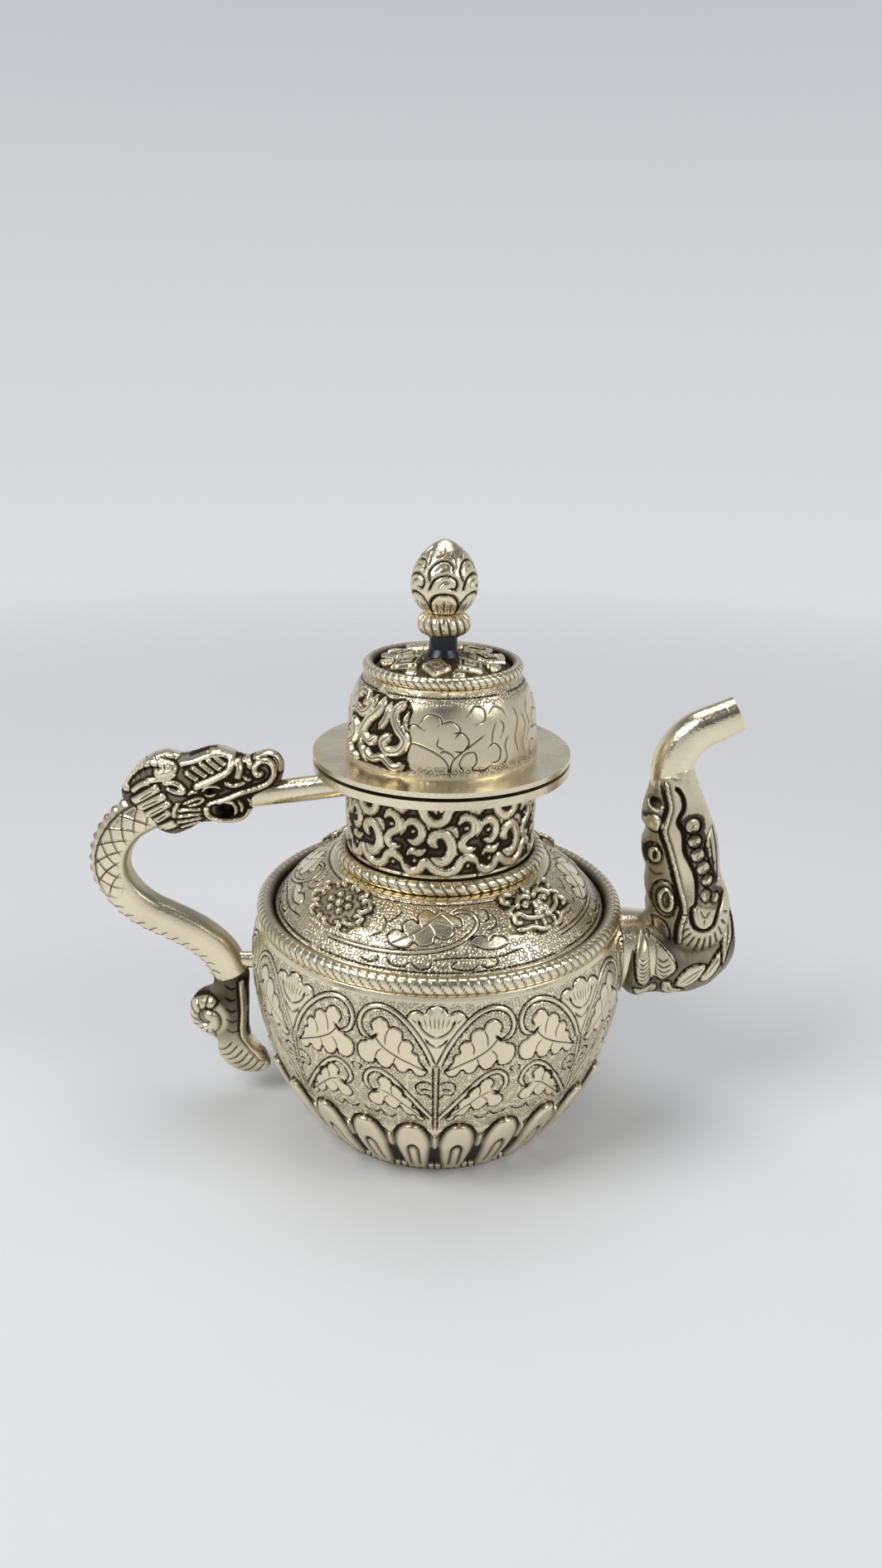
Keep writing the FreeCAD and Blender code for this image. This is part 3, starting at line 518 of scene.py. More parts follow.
# Bowl: eight palmettes on stems with crooks and leaves over a ring-punched ground
bowlShape = {"foot": (31, 1.6), "belly": (47.98, 46.5), "mouth": (45.5, 57.4), "wall": 1.2, "ledge": 39.9}
bowlMotif = {
    "count": 8, "divisions": 24, "from": 24.6, "upTo": 59.2, "behindPetals": 3, "line": 0.4, "depth": 0.46,
    "band": 0.62, "bandGround": 0.6, "stem": [(0.55, -2.4), (0.6, 10), (0.7, 18.6)],
    "sprigs": [
        [(0.9, 13.4), (2.6, 14.2), (4.4, 13.2), (4.6, 11.4)],
        [(4.6, 11.4), (3.6, 10), (2, 10.2), (1, 8.8)], [(1.2, 11.6), (2.6, 11.9), (3.6, 11.4)],
        [(18, 3.6), (16.6, 2.2), (14.6, 2.2), (13.6, 3.6)],
        [(13.6, 3.6), (12.6, 1.5), (10.8, 1.3), (9.6, 2.6)], [(18.1, 15.2), (17.4, 16.4), (18.2, 17.2)]],
    "palmette": [
        [(0, 33.9), (1.9, 33.2), (2.6, 31.6)], [(2.6, 31.6), (4.4, 32.6), (6.2, 31.9), (6.9, 30.4)],
        [(0, 26.4), (1.6, 27), (3.2, 28.4), (4.2, 30.4)], [(0, 23.9), (1.4, 24.7), (2.6, 26.2)]],
    "hatching": (0.5, 1.6, 2.9, 4.3, 5.6),
    "fork": [(0, 20), (6.8, 30.6), (6.2, 31.9), (4.4, 32.6), (2.6, 31.7), (0, 33.9)],
    "bigCrook": [
        (0.7, 19), (2.6, 23.6), (5.6, 28.2), (9.2, 31.5), (13, 32.7), (16.3, 31.6), (17.7, 28.8),
        (17, 25.9), (14.8, 24.8), (13.2, 26.2)],
    "smallCrook": [
        (0.7, 1.4), (3.6, 5.6), (7.2, 10.6), (10.6, 14.6), (13.6, 16.2), (16, 14.8), (16.7, 12),
        (15.2, 9.8), (13.6, 10.6)],
    "bigLeaf": {
        "spine": [(14, 25.4), (11.8, 22.8), (8.6, 20.7), (5.2, 19), (1.8, 17.2)],
        "upper": [
            [(14.4, 26.6), (14.9, 28.5), (13.2, 30.1), (11.3, 29.6), (10.6, 27.9)],
            [(10.6, 27.9), (9.2, 28.3), (7.7, 27.2), (7.6, 25.3)],
            [(7.6, 25.3), (6.1, 25.3), (5.1, 23.9), (5.5, 22.3)],
            [(5.5, 22.3), (4.1, 21.6), (3.8, 20), (2.9, 18.6), (1.8, 17.2)]],
        "lower": [
            [(15.5, 24), (17.5, 23.1), (18.2, 21.2), (17.6, 18.9), (15.8, 17.8), (14.2, 18.3),
              (13.9, 19.7)],
            [(13.9, 19.7), (12.6, 17.6), (10.8, 17.3), (9.6, 18.9)],
            [(9.6, 18.9), (8.6, 16.9), (7, 16.6), (5.9, 18)],
            [(5.9, 18), (4.6, 16.2), (3, 15.9), (1.8, 17.2)]],
        "veins": [
            [(13.9, 19.7), (13.3, 21.5), (12.2, 22.5)], [(9.6, 18.9), (9.4, 20), (8.9, 20.7)],
            [(10.6, 27.9), (11.4, 25.8), (11.5, 23.6)], [(7.6, 25.3), (8.4, 23.4), (8.3, 21.7)]],
    },
    "smallLeaf": {
        "spine": [(13, 10.4), (10.6, 9.2), (7.4, 6.3), (4.6, 3.5), (2.4, 1.4)],
        "upper": [
            [(13, 11.4), (13.6, 13.2), (12.2, 14.6), (10.6, 14), (10.2, 12.4)],
            [(10.2, 12.4), (8.8, 12.2), (7.6, 10.8), (7.9, 9.2)],
            [(7.9, 9.2), (6.4, 8.6), (5.4, 7), (5.8, 5.6)], [(5.8, 5.6), (4.4, 4.8), (3.4, 3), (2.4, 1.4)]],
        "lower": [
            [(13.7, 9.3), (15.7, 8.6), (16.5, 6.6), (15, 5), (13, 5.3), (12.6, 6.8)],
            [(12.6, 6.8), (11.2, 5), (9.6, 4.6), (8.6, 6)], [(8.6, 6), (7.8, 4), (6.4, 2.8), (5.1, 3.2)],
            [(5.1, 3.2), (4.6, 1.6), (3.5, 0.9), (2.4, 1.4)]],
        "veins": [
            [(12.6, 6.8), (12, 8.2), (10.9, 9)], [(10.2, 12.4), (10.5, 10.8), (10.2, 9.4)],
            [(8.6, 6), (8.4, 6.8), (7.8, 6.6)]],
    },
}


def bowlStrokes():
    cut, side, flat = bowlMotif["line"], bowlMotif["band"], bowlMotif["bandGround"]
    strokes, leaves = [], []

    def groove(points, width=cut, depth=bowlMotif["depth"]):
        strokes.append(stroke(points, width, -depth))

    def bare(shape):
        leaves.extend([shape, shape * (-1, 1)])
    for crook in ("bigCrook", "smallCrook"):
        line = smoothLine(bowlMotif[crook], 0.5)
        normal = sideways(line)
        closing = np.clip(np.arange(len(line))[::-1] / 8, 0.25, 1)[:, None]
        groove(line + normal * side * closing)
        groove(line - normal * side * closing)
        bare(np.vstack([line + normal * flat, (line - normal * flat)[::-1]]))
    groove(bowlMotif["stem"])
    for drawing in ("bigLeaf", "smallLeaf"):
        lines, ground = lobedLeaf(bowlMotif[drawing], cut)
        strokes.extend(lines)
        bare(ground)
    # sprigs beside the stem and in the lower corners, and the palmette in the fork with its hatching
    for lobe in bowlMotif["sprigs"] + bowlMotif["palmette"]:
        groove(lobe)
    for lean in bowlMotif["hatching"]:
        groove([(lean * 0.75, 28.2 + lean * 0.25), (lean, 31.4 - lean * 0.12)], 0.22, 0.26)
    bare(np.array(bowlMotif["fork"]))
    return mirrored(strokes), leaves


def makeBowl():
    foot, belly, mouth, wall, ledge = (bowlShape[key] for key in ("foot", "belly", "mouth", "wall", "ledge"))
    level, under, floor = belly[1], mouth[1] - wall, foot[1] + wall
    within = (belly[0] - wall, level)
    profile = arcPoints(foot, belly, level, 60) + arcPoints(belly, mouth, level, 16)[1:]
    inner = [(ledge, mouth[1]), (ledge, under)] + arcPoints((mouth[0] - wall, under), within, level, 6)
    inner += arcPoints(within, (foot[0] - wall, floor), level, 16)[1:] + [(0, floor), (0, foot[1])]
    strokes, leaves = bowlStrokes()
    # the punched ground runs on behind the petal tips
    behind = bowlMotif["behindPetals"]
    strokes = [dict(item, line=item["line"] + (0, behind)) for item in strokes]
    leaves = [np.asarray(leaf) + (0, behind) for leaf in leaves]
    bowl = engravedWall("chasedBowl", profile, (bowlMotif["from"] - behind, bowlMotif["upTo"]), inner,
                        bowlMotif["count"], strokes, leaves, bowlMotif["divisions"])
    dress(bowl, "pot", "chased_metal", chased, "bowl")


makeBowl()

# Lotus petals round the foot
petals = {
    "count": 24, "columns": 26, "rows": 46, "relief": 1.45, "edge": 0.1, "top": 22.4, "notch": 0.6,
    "groove": 0.65, "behind": 0.35, "waist": 0.8, "shoulder": (0.86, 0.44), "tipWide": 0.24,
    "tipRise": 0.55, "hairpin": {"from": 0.08, "upTo": 0.52, "radius": 0.27, "line": 0.085},
}


def makePetals():
    profile = arcPoints(bowlShape["foot"], bowlShape["belly"], bowlShape["belly"][1], 80)
    at, length = alongProfile(profile)
    tall = np.interp(petals["top"], [z for _, z in profile], np.linspace(0, length, len(profile)))
    rows, notch, thin, full = (petals[key] for key in ("rows", "notch", "edge", "relief"))
    narrow, pin = petals["waist"], petals["hairpin"]
    edge, slope = petals["shoulder"]
    columns = petals["count"] * petals["columns"]
    turn = (np.arange(columns) / columns * petals["count"]) % 1 * 2 - 1
    angles = np.arange(columns) / columns * fullTurn + front
    # how far up the band reaches: round petal tips, and the small tips of the row behind between them
    petalTop = notch + (1 - notch) * np.sqrt(np.maximum(0, 1 - np.abs(turn) ** 2.2))
    between = notch + 0.2 * (1 - np.abs(np.abs(turn) - 1) / 0.25).clip(0)
    reach = np.maximum(petalTop, between)
    points, tones = [], []
    for row in range(rows):
        t = row / (rows - 1) * reach
        body = np.where(t < notch, 1, np.sqrt(np.maximum(1e-9, 1 - ((t - notch) / (1 - notch)) ** 2)))
        waist = narrow + (1 - narrow) * np.clip(t / notch, 0, 1)
        side = np.abs(turn) / np.maximum(body * waist, 0.05)
        rise = np.sin(np.clip((edge - side) / slope, 0, 1) * math.pi / 2)
        tip = np.clip(1 - (1 - np.abs(turn)) / petals["tipWide"], 0, 1)
        tip = tip * np.clip((t - notch + 0.1) / 0.08, 0, 1)
        bend = np.hypot(turn * 1.15, np.maximum(t - pin["upTo"], 0) * 2.2) - pin["radius"]
        hairpin = np.exp(-(bend / pin["line"]) ** 2) * np.clip((t - pin["from"]) * 12, 0, 1)
        lift = thin + (full - thin) * np.maximum(rise, petals["tipRise"] * tip) - petals["groove"] * hairpin
        lift = np.where(row == rows - 1, -thin, np.minimum(lift, full))
        r, z, outward, upward = at(t * tall)
        points.append(around(r + outward * lift, angles, z + upward * lift * (t > 0)))
        tones.append(np.clip(np.maximum(1.25 - rise * 1.6 - 1.2 * tip, hairpin * 1.2), 0, 1))
    for back in np.linspace(reach.min() * 0.98, 0, 5):
        r, z, _, _ = at(back * tall)
        points.append(around(r - petals["behind"], angles, z))
        tones.append(np.zeros(columns))
    band = formed("lotusPetals", points, ringFaces(len(points), columns, True), tones)
    dress(band, "pot", "chased_metal", chased, "lotus_band")


makePetals()


# Corded rings
cords = {
    "beltCord": {"node": "belt_cord", "body": "pot", "notches": 124, "slant": 0.55, "depth": 0.12},
    "neckCord": {"node": "neck_cord", "body": "pot", "notches": 60, "slant": 0.4, "depth": 0.2},
    "lidCord": {"node": "lid_cord", "body": "lid", "notches": 64, "slant": 0.45, "depth": 0.18},
}


def makeCord(name, node, body, notches, slant, depth):
    low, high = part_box(node)
    size = (high.z - low.z) / mm
    ring = high.x / mm - size / 2
    level = (low.z + high.z) / 2 / mm
    columns, rows = notches * 15, 16
    angles = np.arange(columns) / columns * fullTurn
    points, tones = [], []
    for row in range(rows):
        roll = row / rows * fullTurn
        phase = (angles * notches / fullTurn + slant * math.sin(roll)) % 1
        notch = np.exp(-((phase - 0.5) / 0.085) ** 2) * max(0.15, math.cos(roll) * 0.5 + 0.5)
        swell = size / 2 * (1 - depth * notch)
        points.append(around(ring + swell * math.cos(roll), angles, level + swell * math.sin(roll)))
        # the inner side of the cord, where it lies against the pot, is darkened: tarnish in the seam and
        # painted shade
        seamShadeAndTarnish = max(0, 0.3 - math.cos(roll)) * 0.8
        tones.append(np.clip(np.maximum(notch * 1.4, seamShadeAndTarnish), 0, 1))
    cord = formed(name, points, ringFaces(rows, columns, True), tones)
    dress(cord, body, "chased_metal", chased, node)


for cordName, cordShape in cords.items():
    makeCord(cordName, **cordShape)

# Dragon on the handle: head, scaled body and curled tail
dragonHead = {
    "outline": [
        (-79, 86.1), (-78.3, 89.6), (-75.2, 94), (-71.6, 97), (-67.5, 98.4), (-63.1, 97.4), (-58.5, 98.9),
        (-54.9, 99.5), (-50.6, 98), (-47.4, 97.3), (-45.2, 98.2), (-42.2, 99), (-39.7, 97.9),
        (-38.6, 95.2), (-39.3, 91.4), (-41.6, 88.3), (-45, 86.6), (-46.6, 83.4), (-48.6, 80.6),
        (-52.2, 79.6), (-56.2, 80), (-59.6, 79.6), (-62.8, 77.6), (-66.9, 76.2), (-70.4, 77.6),
        (-75.2, 80.9)],
    "fullness": 0.66, "dark": 0.76,
    "ridges": [
        ([(-62, 94.2), (-58.9, 92.4)], 0.6, 0.8), ([(-60.6, 95.6), (-56.8, 93.2)], 0.62, 0.9),
        ([(-58.8, 96.6), (-55, 94)], 0.62, 0.9), ([(-57, 97.4), (-53.4, 94.8)], 0.62, 0.9),
        ([(-55.2, 98), (-52.2, 95.8)], 0.6, 0.8),
        ([(-71.6, 91.6), (-69, 92.2), (-66.8, 92.6), (-64.6, 93.6)], 0.7, 0.8),
        ([(-75.6, 88.6), (-73.4, 90.4), (-71.2, 91.4)], 0.7, 0.8),
        ([(-52.6, 92), (-50.6, 91), (-47.6, 91.6)], 0.6, 0.7),
        ([(-48.2, 93.4), (-47, 92.4), (-46, 92.6)], 0.5, 0.6),
        ([(-61.6, 88.6), (-60.4, 89.4), (-59, 89.4)], 0.5, 0.7),
        ([(-68.6, 78.6), (-66.4, 79.4), (-65, 80.4)], 0.6, 0.7),
        ([(-77.1, 88.7), (-77.6, 90.8), (-75.9, 93.2), (-73.4, 95.2), (-70.4, 96.2), (-67, 95.9),
          (-65, 95), (-66.4, 94.1), (-69.4, 93.7)], 1.1, 1),
        ([(-74.2, 95.8), (-71.4, 97.3), (-68, 98), (-64, 97.6)], 0.8, 0.9),
        ([(-63.5, 96.2), (-60, 97), (-56.7, 98.2), (-53.4, 98.6), (-51, 97.4), (-51.6, 94.6),
          (-54.6, 92.9), (-57.2, 91.7), (-59.8, 90.6)], 0.9, 1.3),
        ([(-67.6, 91.4), (-65.4, 91.7), (-63.4, 91), (-62.5, 89.4), (-64.5, 89.5), (-66.6, 90.4)], 0.7, 1),
        ([(-58.1, 89.5), (-56.8, 90.7), (-54.7, 90.9), (-53.4, 90.3)], 0.4, 0.7),
        ([(-57.6, 88.9), (-56.2, 88.4), (-54.6, 89)], 0.35, 0.6),
        ([(-49.8, 97), (-49, 95.2), (-49.4, 92.8)], 0.9, 0.9),
        ([(-48.2, 97), (-46.9, 96.6), (-46.4, 95.2)], 0.7, 0.8),
        ([(-54.6, 86.7), (-51.9, 87.7), (-48.8, 89), (-46.1, 89.7), (-43.5, 90.5), (-41.5, 91.9),
          (-40.7, 94), (-41.3, 96), (-42.9, 96.9), (-44.6, 96.3), (-45.4, 94.8), (-44.7, 93.5),
          (-43.4, 93.8)], 0.75, 1.3),
        ([(-45.6, 97.4), (-43.6, 98.3), (-41.2, 98.2), (-39.6, 96.4), (-39.4, 94)], 0.7, 0.8),
        ([(-57.4, 85.2), (-57, 82.8), (-54.8, 81.2), (-51.2, 81), (-48.2, 81.8), (-46.8, 83.8)], 0.8, 1.2),
        ([(-57.2, 85.8), (-55.6, 86.6), (-53.4, 87), (-51, 86.4), (-50.2, 84.6), (-50.8, 82.8)], 0.55, 0.9),
        ([(-49.4, 87), (-48.8, 85.3), (-49, 83.4)], 0.5, 0.9),
        ([(-47.4, 87.3), (-46.6, 86.4), (-46.6, 85)], 0.5, 0.8),
        ([(-62.9, 86.2), (-60.6, 87.2), (-58.9, 87.9), (-57.8, 87.4), (-59.4, 86.3),
          (-61.8, 85.8)], 0.45, 0.8),
        ([(-65.4, 82.2), (-65, 84.8), (-63.8, 86.3)], 0.6, 0.9),
        ([(-64.4, 84.4), (-61.6, 84.7), (-58.6, 84.7)], 0.55, 0.9),
        ([(-64.6, 82.6), (-61.6, 83.1), (-58.7, 83.4)], 0.55, 0.9),
        ([(-64.9, 80.9), (-61.6, 81.5), (-58.8, 82.1)], 0.55, 0.9),
        ([(-64.4, 79.2), (-61.6, 80), (-59, 80.8)], 0.5, 0.7),
        ([(-75.4, 86), (-72, 88.2), (-68.8, 90.2)], 1.05, 1),
        ([(-74.2, 84.2), (-70.8, 86.3), (-67.2, 88.2)], 1.05, 1),
        ([(-72.6, 82.3), (-69.2, 84.5), (-66.2, 86.4)], 1, 1),
        ([(-70.4, 80.9), (-68.2, 82.4), (-66.4, 83.8)], 0.85, 0.8),
        ([(-70.1, 78.6), (-67.6, 80), (-65.6, 81.2)], 0.7, 0.7)],
    "grooves": [
        [(-75.8, 92.8), (-74.5, 90.9)], [(-74, 94.5), (-73.2, 91.8)], [(-72.5, 95.6), (-71.7, 92.9)],
        [(-70.9, 96.4), (-70.2, 94.2)], [(-68.8, 96.4), (-68.6, 94)], [(-67.1, 96.3), (-67, 94.4)],
        [(-66.8, 91), (-63.7, 89.8)], [(-42.6, 98), (-40.6, 97.4), (-39.7, 95.6), (-40.2, 93)],
        [(-73.4, 87), (-70, 89.3)], [(-73, 85), (-68.6, 87.3)], [(-71.4, 83), (-67.4, 85.5)],
        [(-69.8, 81.3), (-67, 83.3)], [(-77, 86.2), (-75.2, 83.9), (-73.2, 81.8), (-70, 79.6)],
        [(-72.6, 97), (-71.6, 96.2)], [(-70, 97.6), (-69.2, 96.8)], [(-67.2, 98), (-66.6, 97)]],
    "mouth": (-53, 84, 2.5), "eye": (-56.2, 89.7, 0.75),
}


def makeDragonHead():
    strokes = [stroke(*ridge, taper=1, step=0.35) for ridge in dragonHead["ridges"]]
    strokes += [stroke(points, 0.34, -0.75, step=0.35) for points in dragonHead["grooves"]]
    head = twoFaced("dragonHead", dragonHead["outline"], strokes, dragonHead["fullness"], dragonHead["dark"],
                    [dragonHead["mouth"], dragonHead["eye"]])
    dress(head, "pot", "cast_metal", cast, "dragon_head")


# Arm: the listed half of its section is flat towards the palm and ridged along the back
dragonBody = {
    "path": [
        (-54.2, 36.6), (-57.4, 42.8), (-62.3, 47.4), (-68.5, 51), (-74.8, 54.2), (-79.6, 58.4),
        (-82.9, 64), (-83.3, 69.6), (-81.4, 75), (-77.6, 79.6), (-72, 83)],
    "section": [
        (-1, 0), (-0.98, 0.45), (-0.82, 0.8), (-0.4, 1), (0.1, 0.94), (0.55, 0.68), (0.88, 0.28), (1, 0)],
    "width": 9.74, "depth": 8, "scale": 4.2, "scaledFrom": 36, "tooth": 2.3, "tick": 3.1, "scaleCut": 0.42,
    "toothCut": 0.55, "edgeCut": 0.3, "tickCut": 0.25, "edgeAt": 0.62, "palmDarkening": 0.42,
}


def makeDragonBody():
    line = smoothLine(dragonBody["path"], 0.25)
    normal = sideways(line)
    run = runAlong(line)
    half = dragonBody["width"] / 2
    section = np.array(dragonBody["section"]) * (half, dragonBody["depth"] / 2)
    section = np.vstack([section, (section * (1, -1))[-2:0:-1]])
    ring = smoothLine(section, 0.26, closed=True)
    out = -sideways(np.vstack([ring[-1:], ring, ring[:1]]))[1:-1]
    points, tones = [], []
    spacing = dragonBody["scale"]
    for index, (x, z) in enumerate(line):
        s = run[index]
        scaled = np.clip((s - dragonBody["scaledFrom"]) / 6, 0, 1)
        flank = np.clip(1.25 - np.abs(ring[:, 0] - 0.05 * half) / (0.62 * half), 0, 1) * scaled
        rowsDown = ring[:, 0] * 0.95
        first = np.abs(((s + rowsDown) / spacing) % 1 - 0.5) * spacing
        second = np.abs(((s - rowsDown) / spacing) % 1 - 0.5) * spacing
        cutHere = np.clip(1 - np.minimum(first, second) / 0.36, 0, 1) * np.minimum(flank * 2, 1)
        spine = np.clip((ring[:, 0] / half - 0.72) / 0.28, 0, 1)
        tooth = np.abs((s / dragonBody["tooth"]) % 1 - 0.5) * 2
        edgeLine = np.exp(-((ring[:, 0] / half - dragonBody["edgeAt"]) / 0.07) ** 2)
        # slanted ticks along both edges of the plain part
        plain = 1 - scaled
        slant = np.abs(((s - 0.8 * ring[:, 0]) / dragonBody["tick"]) % 1 - 0.5) * dragonBody["tick"]
        ticks = np.clip(1 - slant / 0.3, 0, 1) * plain * np.clip((ring[:, 0] / half - 0.22) / 0.15, 0, 1)
        # the palm side, which faces the pot, is made darker
        palm = np.clip((-0.72 - ring[:, 0] / half) / 0.15, 0, 1)
        lift = -dragonBody["scaleCut"] * cutHere - dragonBody["toothCut"] * spine * tooth * scaled
        lift = lift - dragonBody["edgeCut"] * edgeLine - dragonBody["tickCut"] * ticks
        shape = ring + out * lift[:, None]
        points.append(np.column_stack([x + normal[index, 0] * shape[:, 0], shape[:, 1],
                                       z + normal[index, 1] * shape[:, 0]]))
        darkenings = [cutHere * 1.5, edgeLine * scaled, spine * tooth * scaled * 0.8, ticks * 1.4,
                palm * dragonBody["palmDarkening"]]
        tones.append(np.clip(np.max(darkenings, axis=0), 0, 1))
    columns, rows = len(ring), len(line)
    faces = ringFaces(rows, columns, False)
    faces += [list(range(columns)), list(range((rows - 1) * columns, rows * columns))]
    arm = formed("dragonBody", points, faces, tones)
    dress(arm, "pot", "cast_metal", polished, "dragon_body")


dragonTail = {
    "outline": [
        (-50.2, 38.4), (-58, 38.2), (-59.4, 33), (-63.2, 31), (-65.6, 27), (-65.2, 22.4), (-62, 18.8),
        (-59.2, 17.6), (-58.7, 12.4), (-55.6, 8.2), (-51, 6.4), (-46.5, 6.9), (-44.8, 9.4), (-46.4, 13.2),
        (-49.5, 16), (-50.2, 20.4), (-50, 26.2), (-49.8, 32.5)],
    "spine": [(-51.2, 35.6), (-51, 27), (-51.4, 20), (-49.6, 15.6), (-46.4, 11.4)], "curl": (-60.4, 25),
    "curlSize": 5, "fullness": 0.72,
}


def tailGround(plan):
    # darker round the curl and above it, towards the arm; lighter on the curl and along the blade below
    curl = np.hypot(plan[:, 0] - dragonTail["curl"][0], plan[:, 1] - dragonTail["curl"][1])
    return 0.12 + 0.58 * np.clip((plan[:, 1] - 15) / 7, 0, 1) * np.clip((curl - 4.5) / 1.5, 0, 1)


def makeDragonTail():
    cx, cz = dragonTail["curl"]
    size = dragonTail["curlSize"]

    def onCurl(radius, angle):
        return cx + radius * math.cos(angle), cz + radius * math.sin(angle)
    spiral = [onCurl(size * t, 1.2 + 8.2 * (1 - t)) for t in np.linspace(0.15, 1, 16)]
    strokes = [stroke(spiral, 1.55, 1.3, step=0.35), stroke(dragonTail["spine"], 0.8, 0.9)]
    for step in range(9):
        angle = 1.0 + step * 0.5
        strokes.append(stroke([onCurl(size + 1.6, angle), onCurl(size * 0.5, angle + 0.3)], 0.34, -0.8))
    for step in range(9):
        # ribs down the blade, turning with it
        x, z = -58.2 + step * 1.35, 15.8 - step * 1.25
        strokes.append(stroke([(x - 0.6, z - 2.0), (x + 1.8, z - 0.8), (x + 4.0, z + 1.8)], 0.38, -0.9))
    for step in range(5):
        z = 34.6 - step * 3.2
        strokes.append(stroke([(-55.6, z), (-54.0, z - 1.2), (-52.6, z - 0.8)], 0.36, -0.7))
    tail = twoFaced("dragonTail", dragonTail["outline"], strokes, dragonTail["fullness"], tailGround)
    dress(tail, "pot", "cast_metal", cast, "dragon_tail")


makeDragonHead()
makeDragonBody()
makeDragonTail()

# Spout: leaf-cased elbow and makara body
makara = {
    "outline": [
        (51.4, 91), (50.4, 86.4), (50.2, 82.6), (51.6, 79.6), (50.6, 76.4), (51.2, 72.2), (52.4, 69),
        (52.2, 64.8), (53.2, 60.4), (53.4, 55.6), (55.2, 51.6), (59.2, 48.6), (64.6, 46.4), (69, 46.8),
        (72.6, 50), (74, 56), (73.6, 62.6), (70.8, 69.7), (69.6, 77.7), (66.6, 85.3), (63.6, 92),
        (62.2, 95.6), (60.8, 100), (58, 102.6), (54.4, 100.4), (52.2, 95.4)],
    "ridge": [
        (54.4, 93.9), (55, 91.3), (55.8, 87.8), (55.2, 84.3), (54.9, 81.4), (56.2, 77.8), (57.8, 73),
        (59.4, 67.6), (60.6, 62.7), (59.9, 58.3), (60.3, 52.4)],
    "wave": [
        (56.6, 93.1), (58.4, 90.8), (59, 87.9), (57.9, 84.4), (59.3, 81.5), (60, 76.8), (61.6, 73.8),
        (63.4, 69.6), (63.5, 64.7), (62.6, 63.2)],
    "jaw": [
        (62.4, 63.8), (62.2, 61.2), (63.2, 58.6), (65.6, 57.3), (67.9, 58.4), (68.9, 61), (70, 63.6),
        (71, 65.8)],
    "chain": [
        (61.6, 83.3, 2), (62.3, 79.5, 1.8), (63.3, 75.9, 1.9), (65, 72.4, 1.9), (66.3, 69.2, 1.6),
        (66, 65.7, 1.5), (68.4, 64.9, 1.3)],
    "fan": [
        ((61.4, 61.8), (59.9, 61.6)), ((61.3, 60), (59.8, 59.2)), ((61.8, 58.2), (60.2, 56.4)),
        ((62.6, 56.8), (60.9, 53.8)), ((63.6, 55.8), (62.3, 51.2)), ((64.9, 55.3), (64.4, 49.7)),
        ((66.3, 55.2), (66.6, 49.5)), ((67.6, 55.6), (68.6, 50.2)), ((68.7, 56.5), (70.3, 51.7)),
        ((69.6, 57.8), (71.4, 54.2)), ((70.3, 59.4), (72, 57.2)), ((70.8, 61.2), (72.4, 60.2))],
    "leaf": [
        [(67, 82.7), (64.9, 78.7), (66.2, 74.6), (68.6, 69.1), (69.4, 67.9)],
        [(67, 82.7), (68.3, 77.2), (69, 71.8), (69.4, 68.1)], [(66.3, 79.8), (67.2, 75.6), (68.2, 71)],
        [(66.8, 77.6), (65.9, 76.9)], [(67.2, 75.4), (66.5, 74.3)]],
    "knobs": [(52.9, 75, 1.9, 2.9), (56, 64.2, 2.7, 4.5)],
    "mouthLeaf": [(54, 58.2), (56.4, 58.4), (58, 54.6), (57.6, 51.4), (55.4, 52.6)],
    "lips": [[(53.7, 95.1), (55.2, 95.8), (57.5, 95.1)], [(56.2, 97.6), (57.7, 98.2), (59.2, 97)]],
    "ticks": (57.2, 56, 54.8, 53.6), "brow": [(52.2, 70.4), (53.8, 69.6), (55.4, 70.6)],
    "eye": [[(64.4, 62.8), (65.6, 60.8), (66.9, 62.4)], [(65.6, 60.8), (65.5, 59)]], "lump": (52.4, 83.2),
    "hollow": (52.7, 88.2, 1.7),
}


def makaraFullness(plan):
    # deeper at the shell below, a little fuller where it meets the tube
    low = np.clip((71 - plan[:, 1]) / 13, 0, 1)
    high = np.clip((plan[:, 1] - 86) / 8, 0, 1)
    return 1 + 0.5 * low * low * (3 - 2 * low) + 0.1 * high


def makaraGround(plan):
    # darker between the pot and the ridge, and round the chain of discs
    ridge = np.array(makara["ridge"])[::-1]
    ridgeAt = np.interp(plan[:, 1], ridge[:, 1], ridge[:, 0])
    left = np.clip((ridgeAt - plan[:, 0]) / 0.8, 0, 1) * (plan[:, 1] < 92)
    tone = 0.14 + 0.42 * left
    for x, z, size in makara["chain"]:
        away = np.hypot(plan[:, 0] - x, plan[:, 1] - z)
        tone = np.maximum(tone, np.where((away > size) & (away < size + 1.3), 0.75, 0))
    return tone


def ellipse(x, z, wide, tall):
    return [(x + wide * math.cos(a), z + tall * math.sin(a)) for a in np.linspace(0, fullTurn, 15)[:-1]]


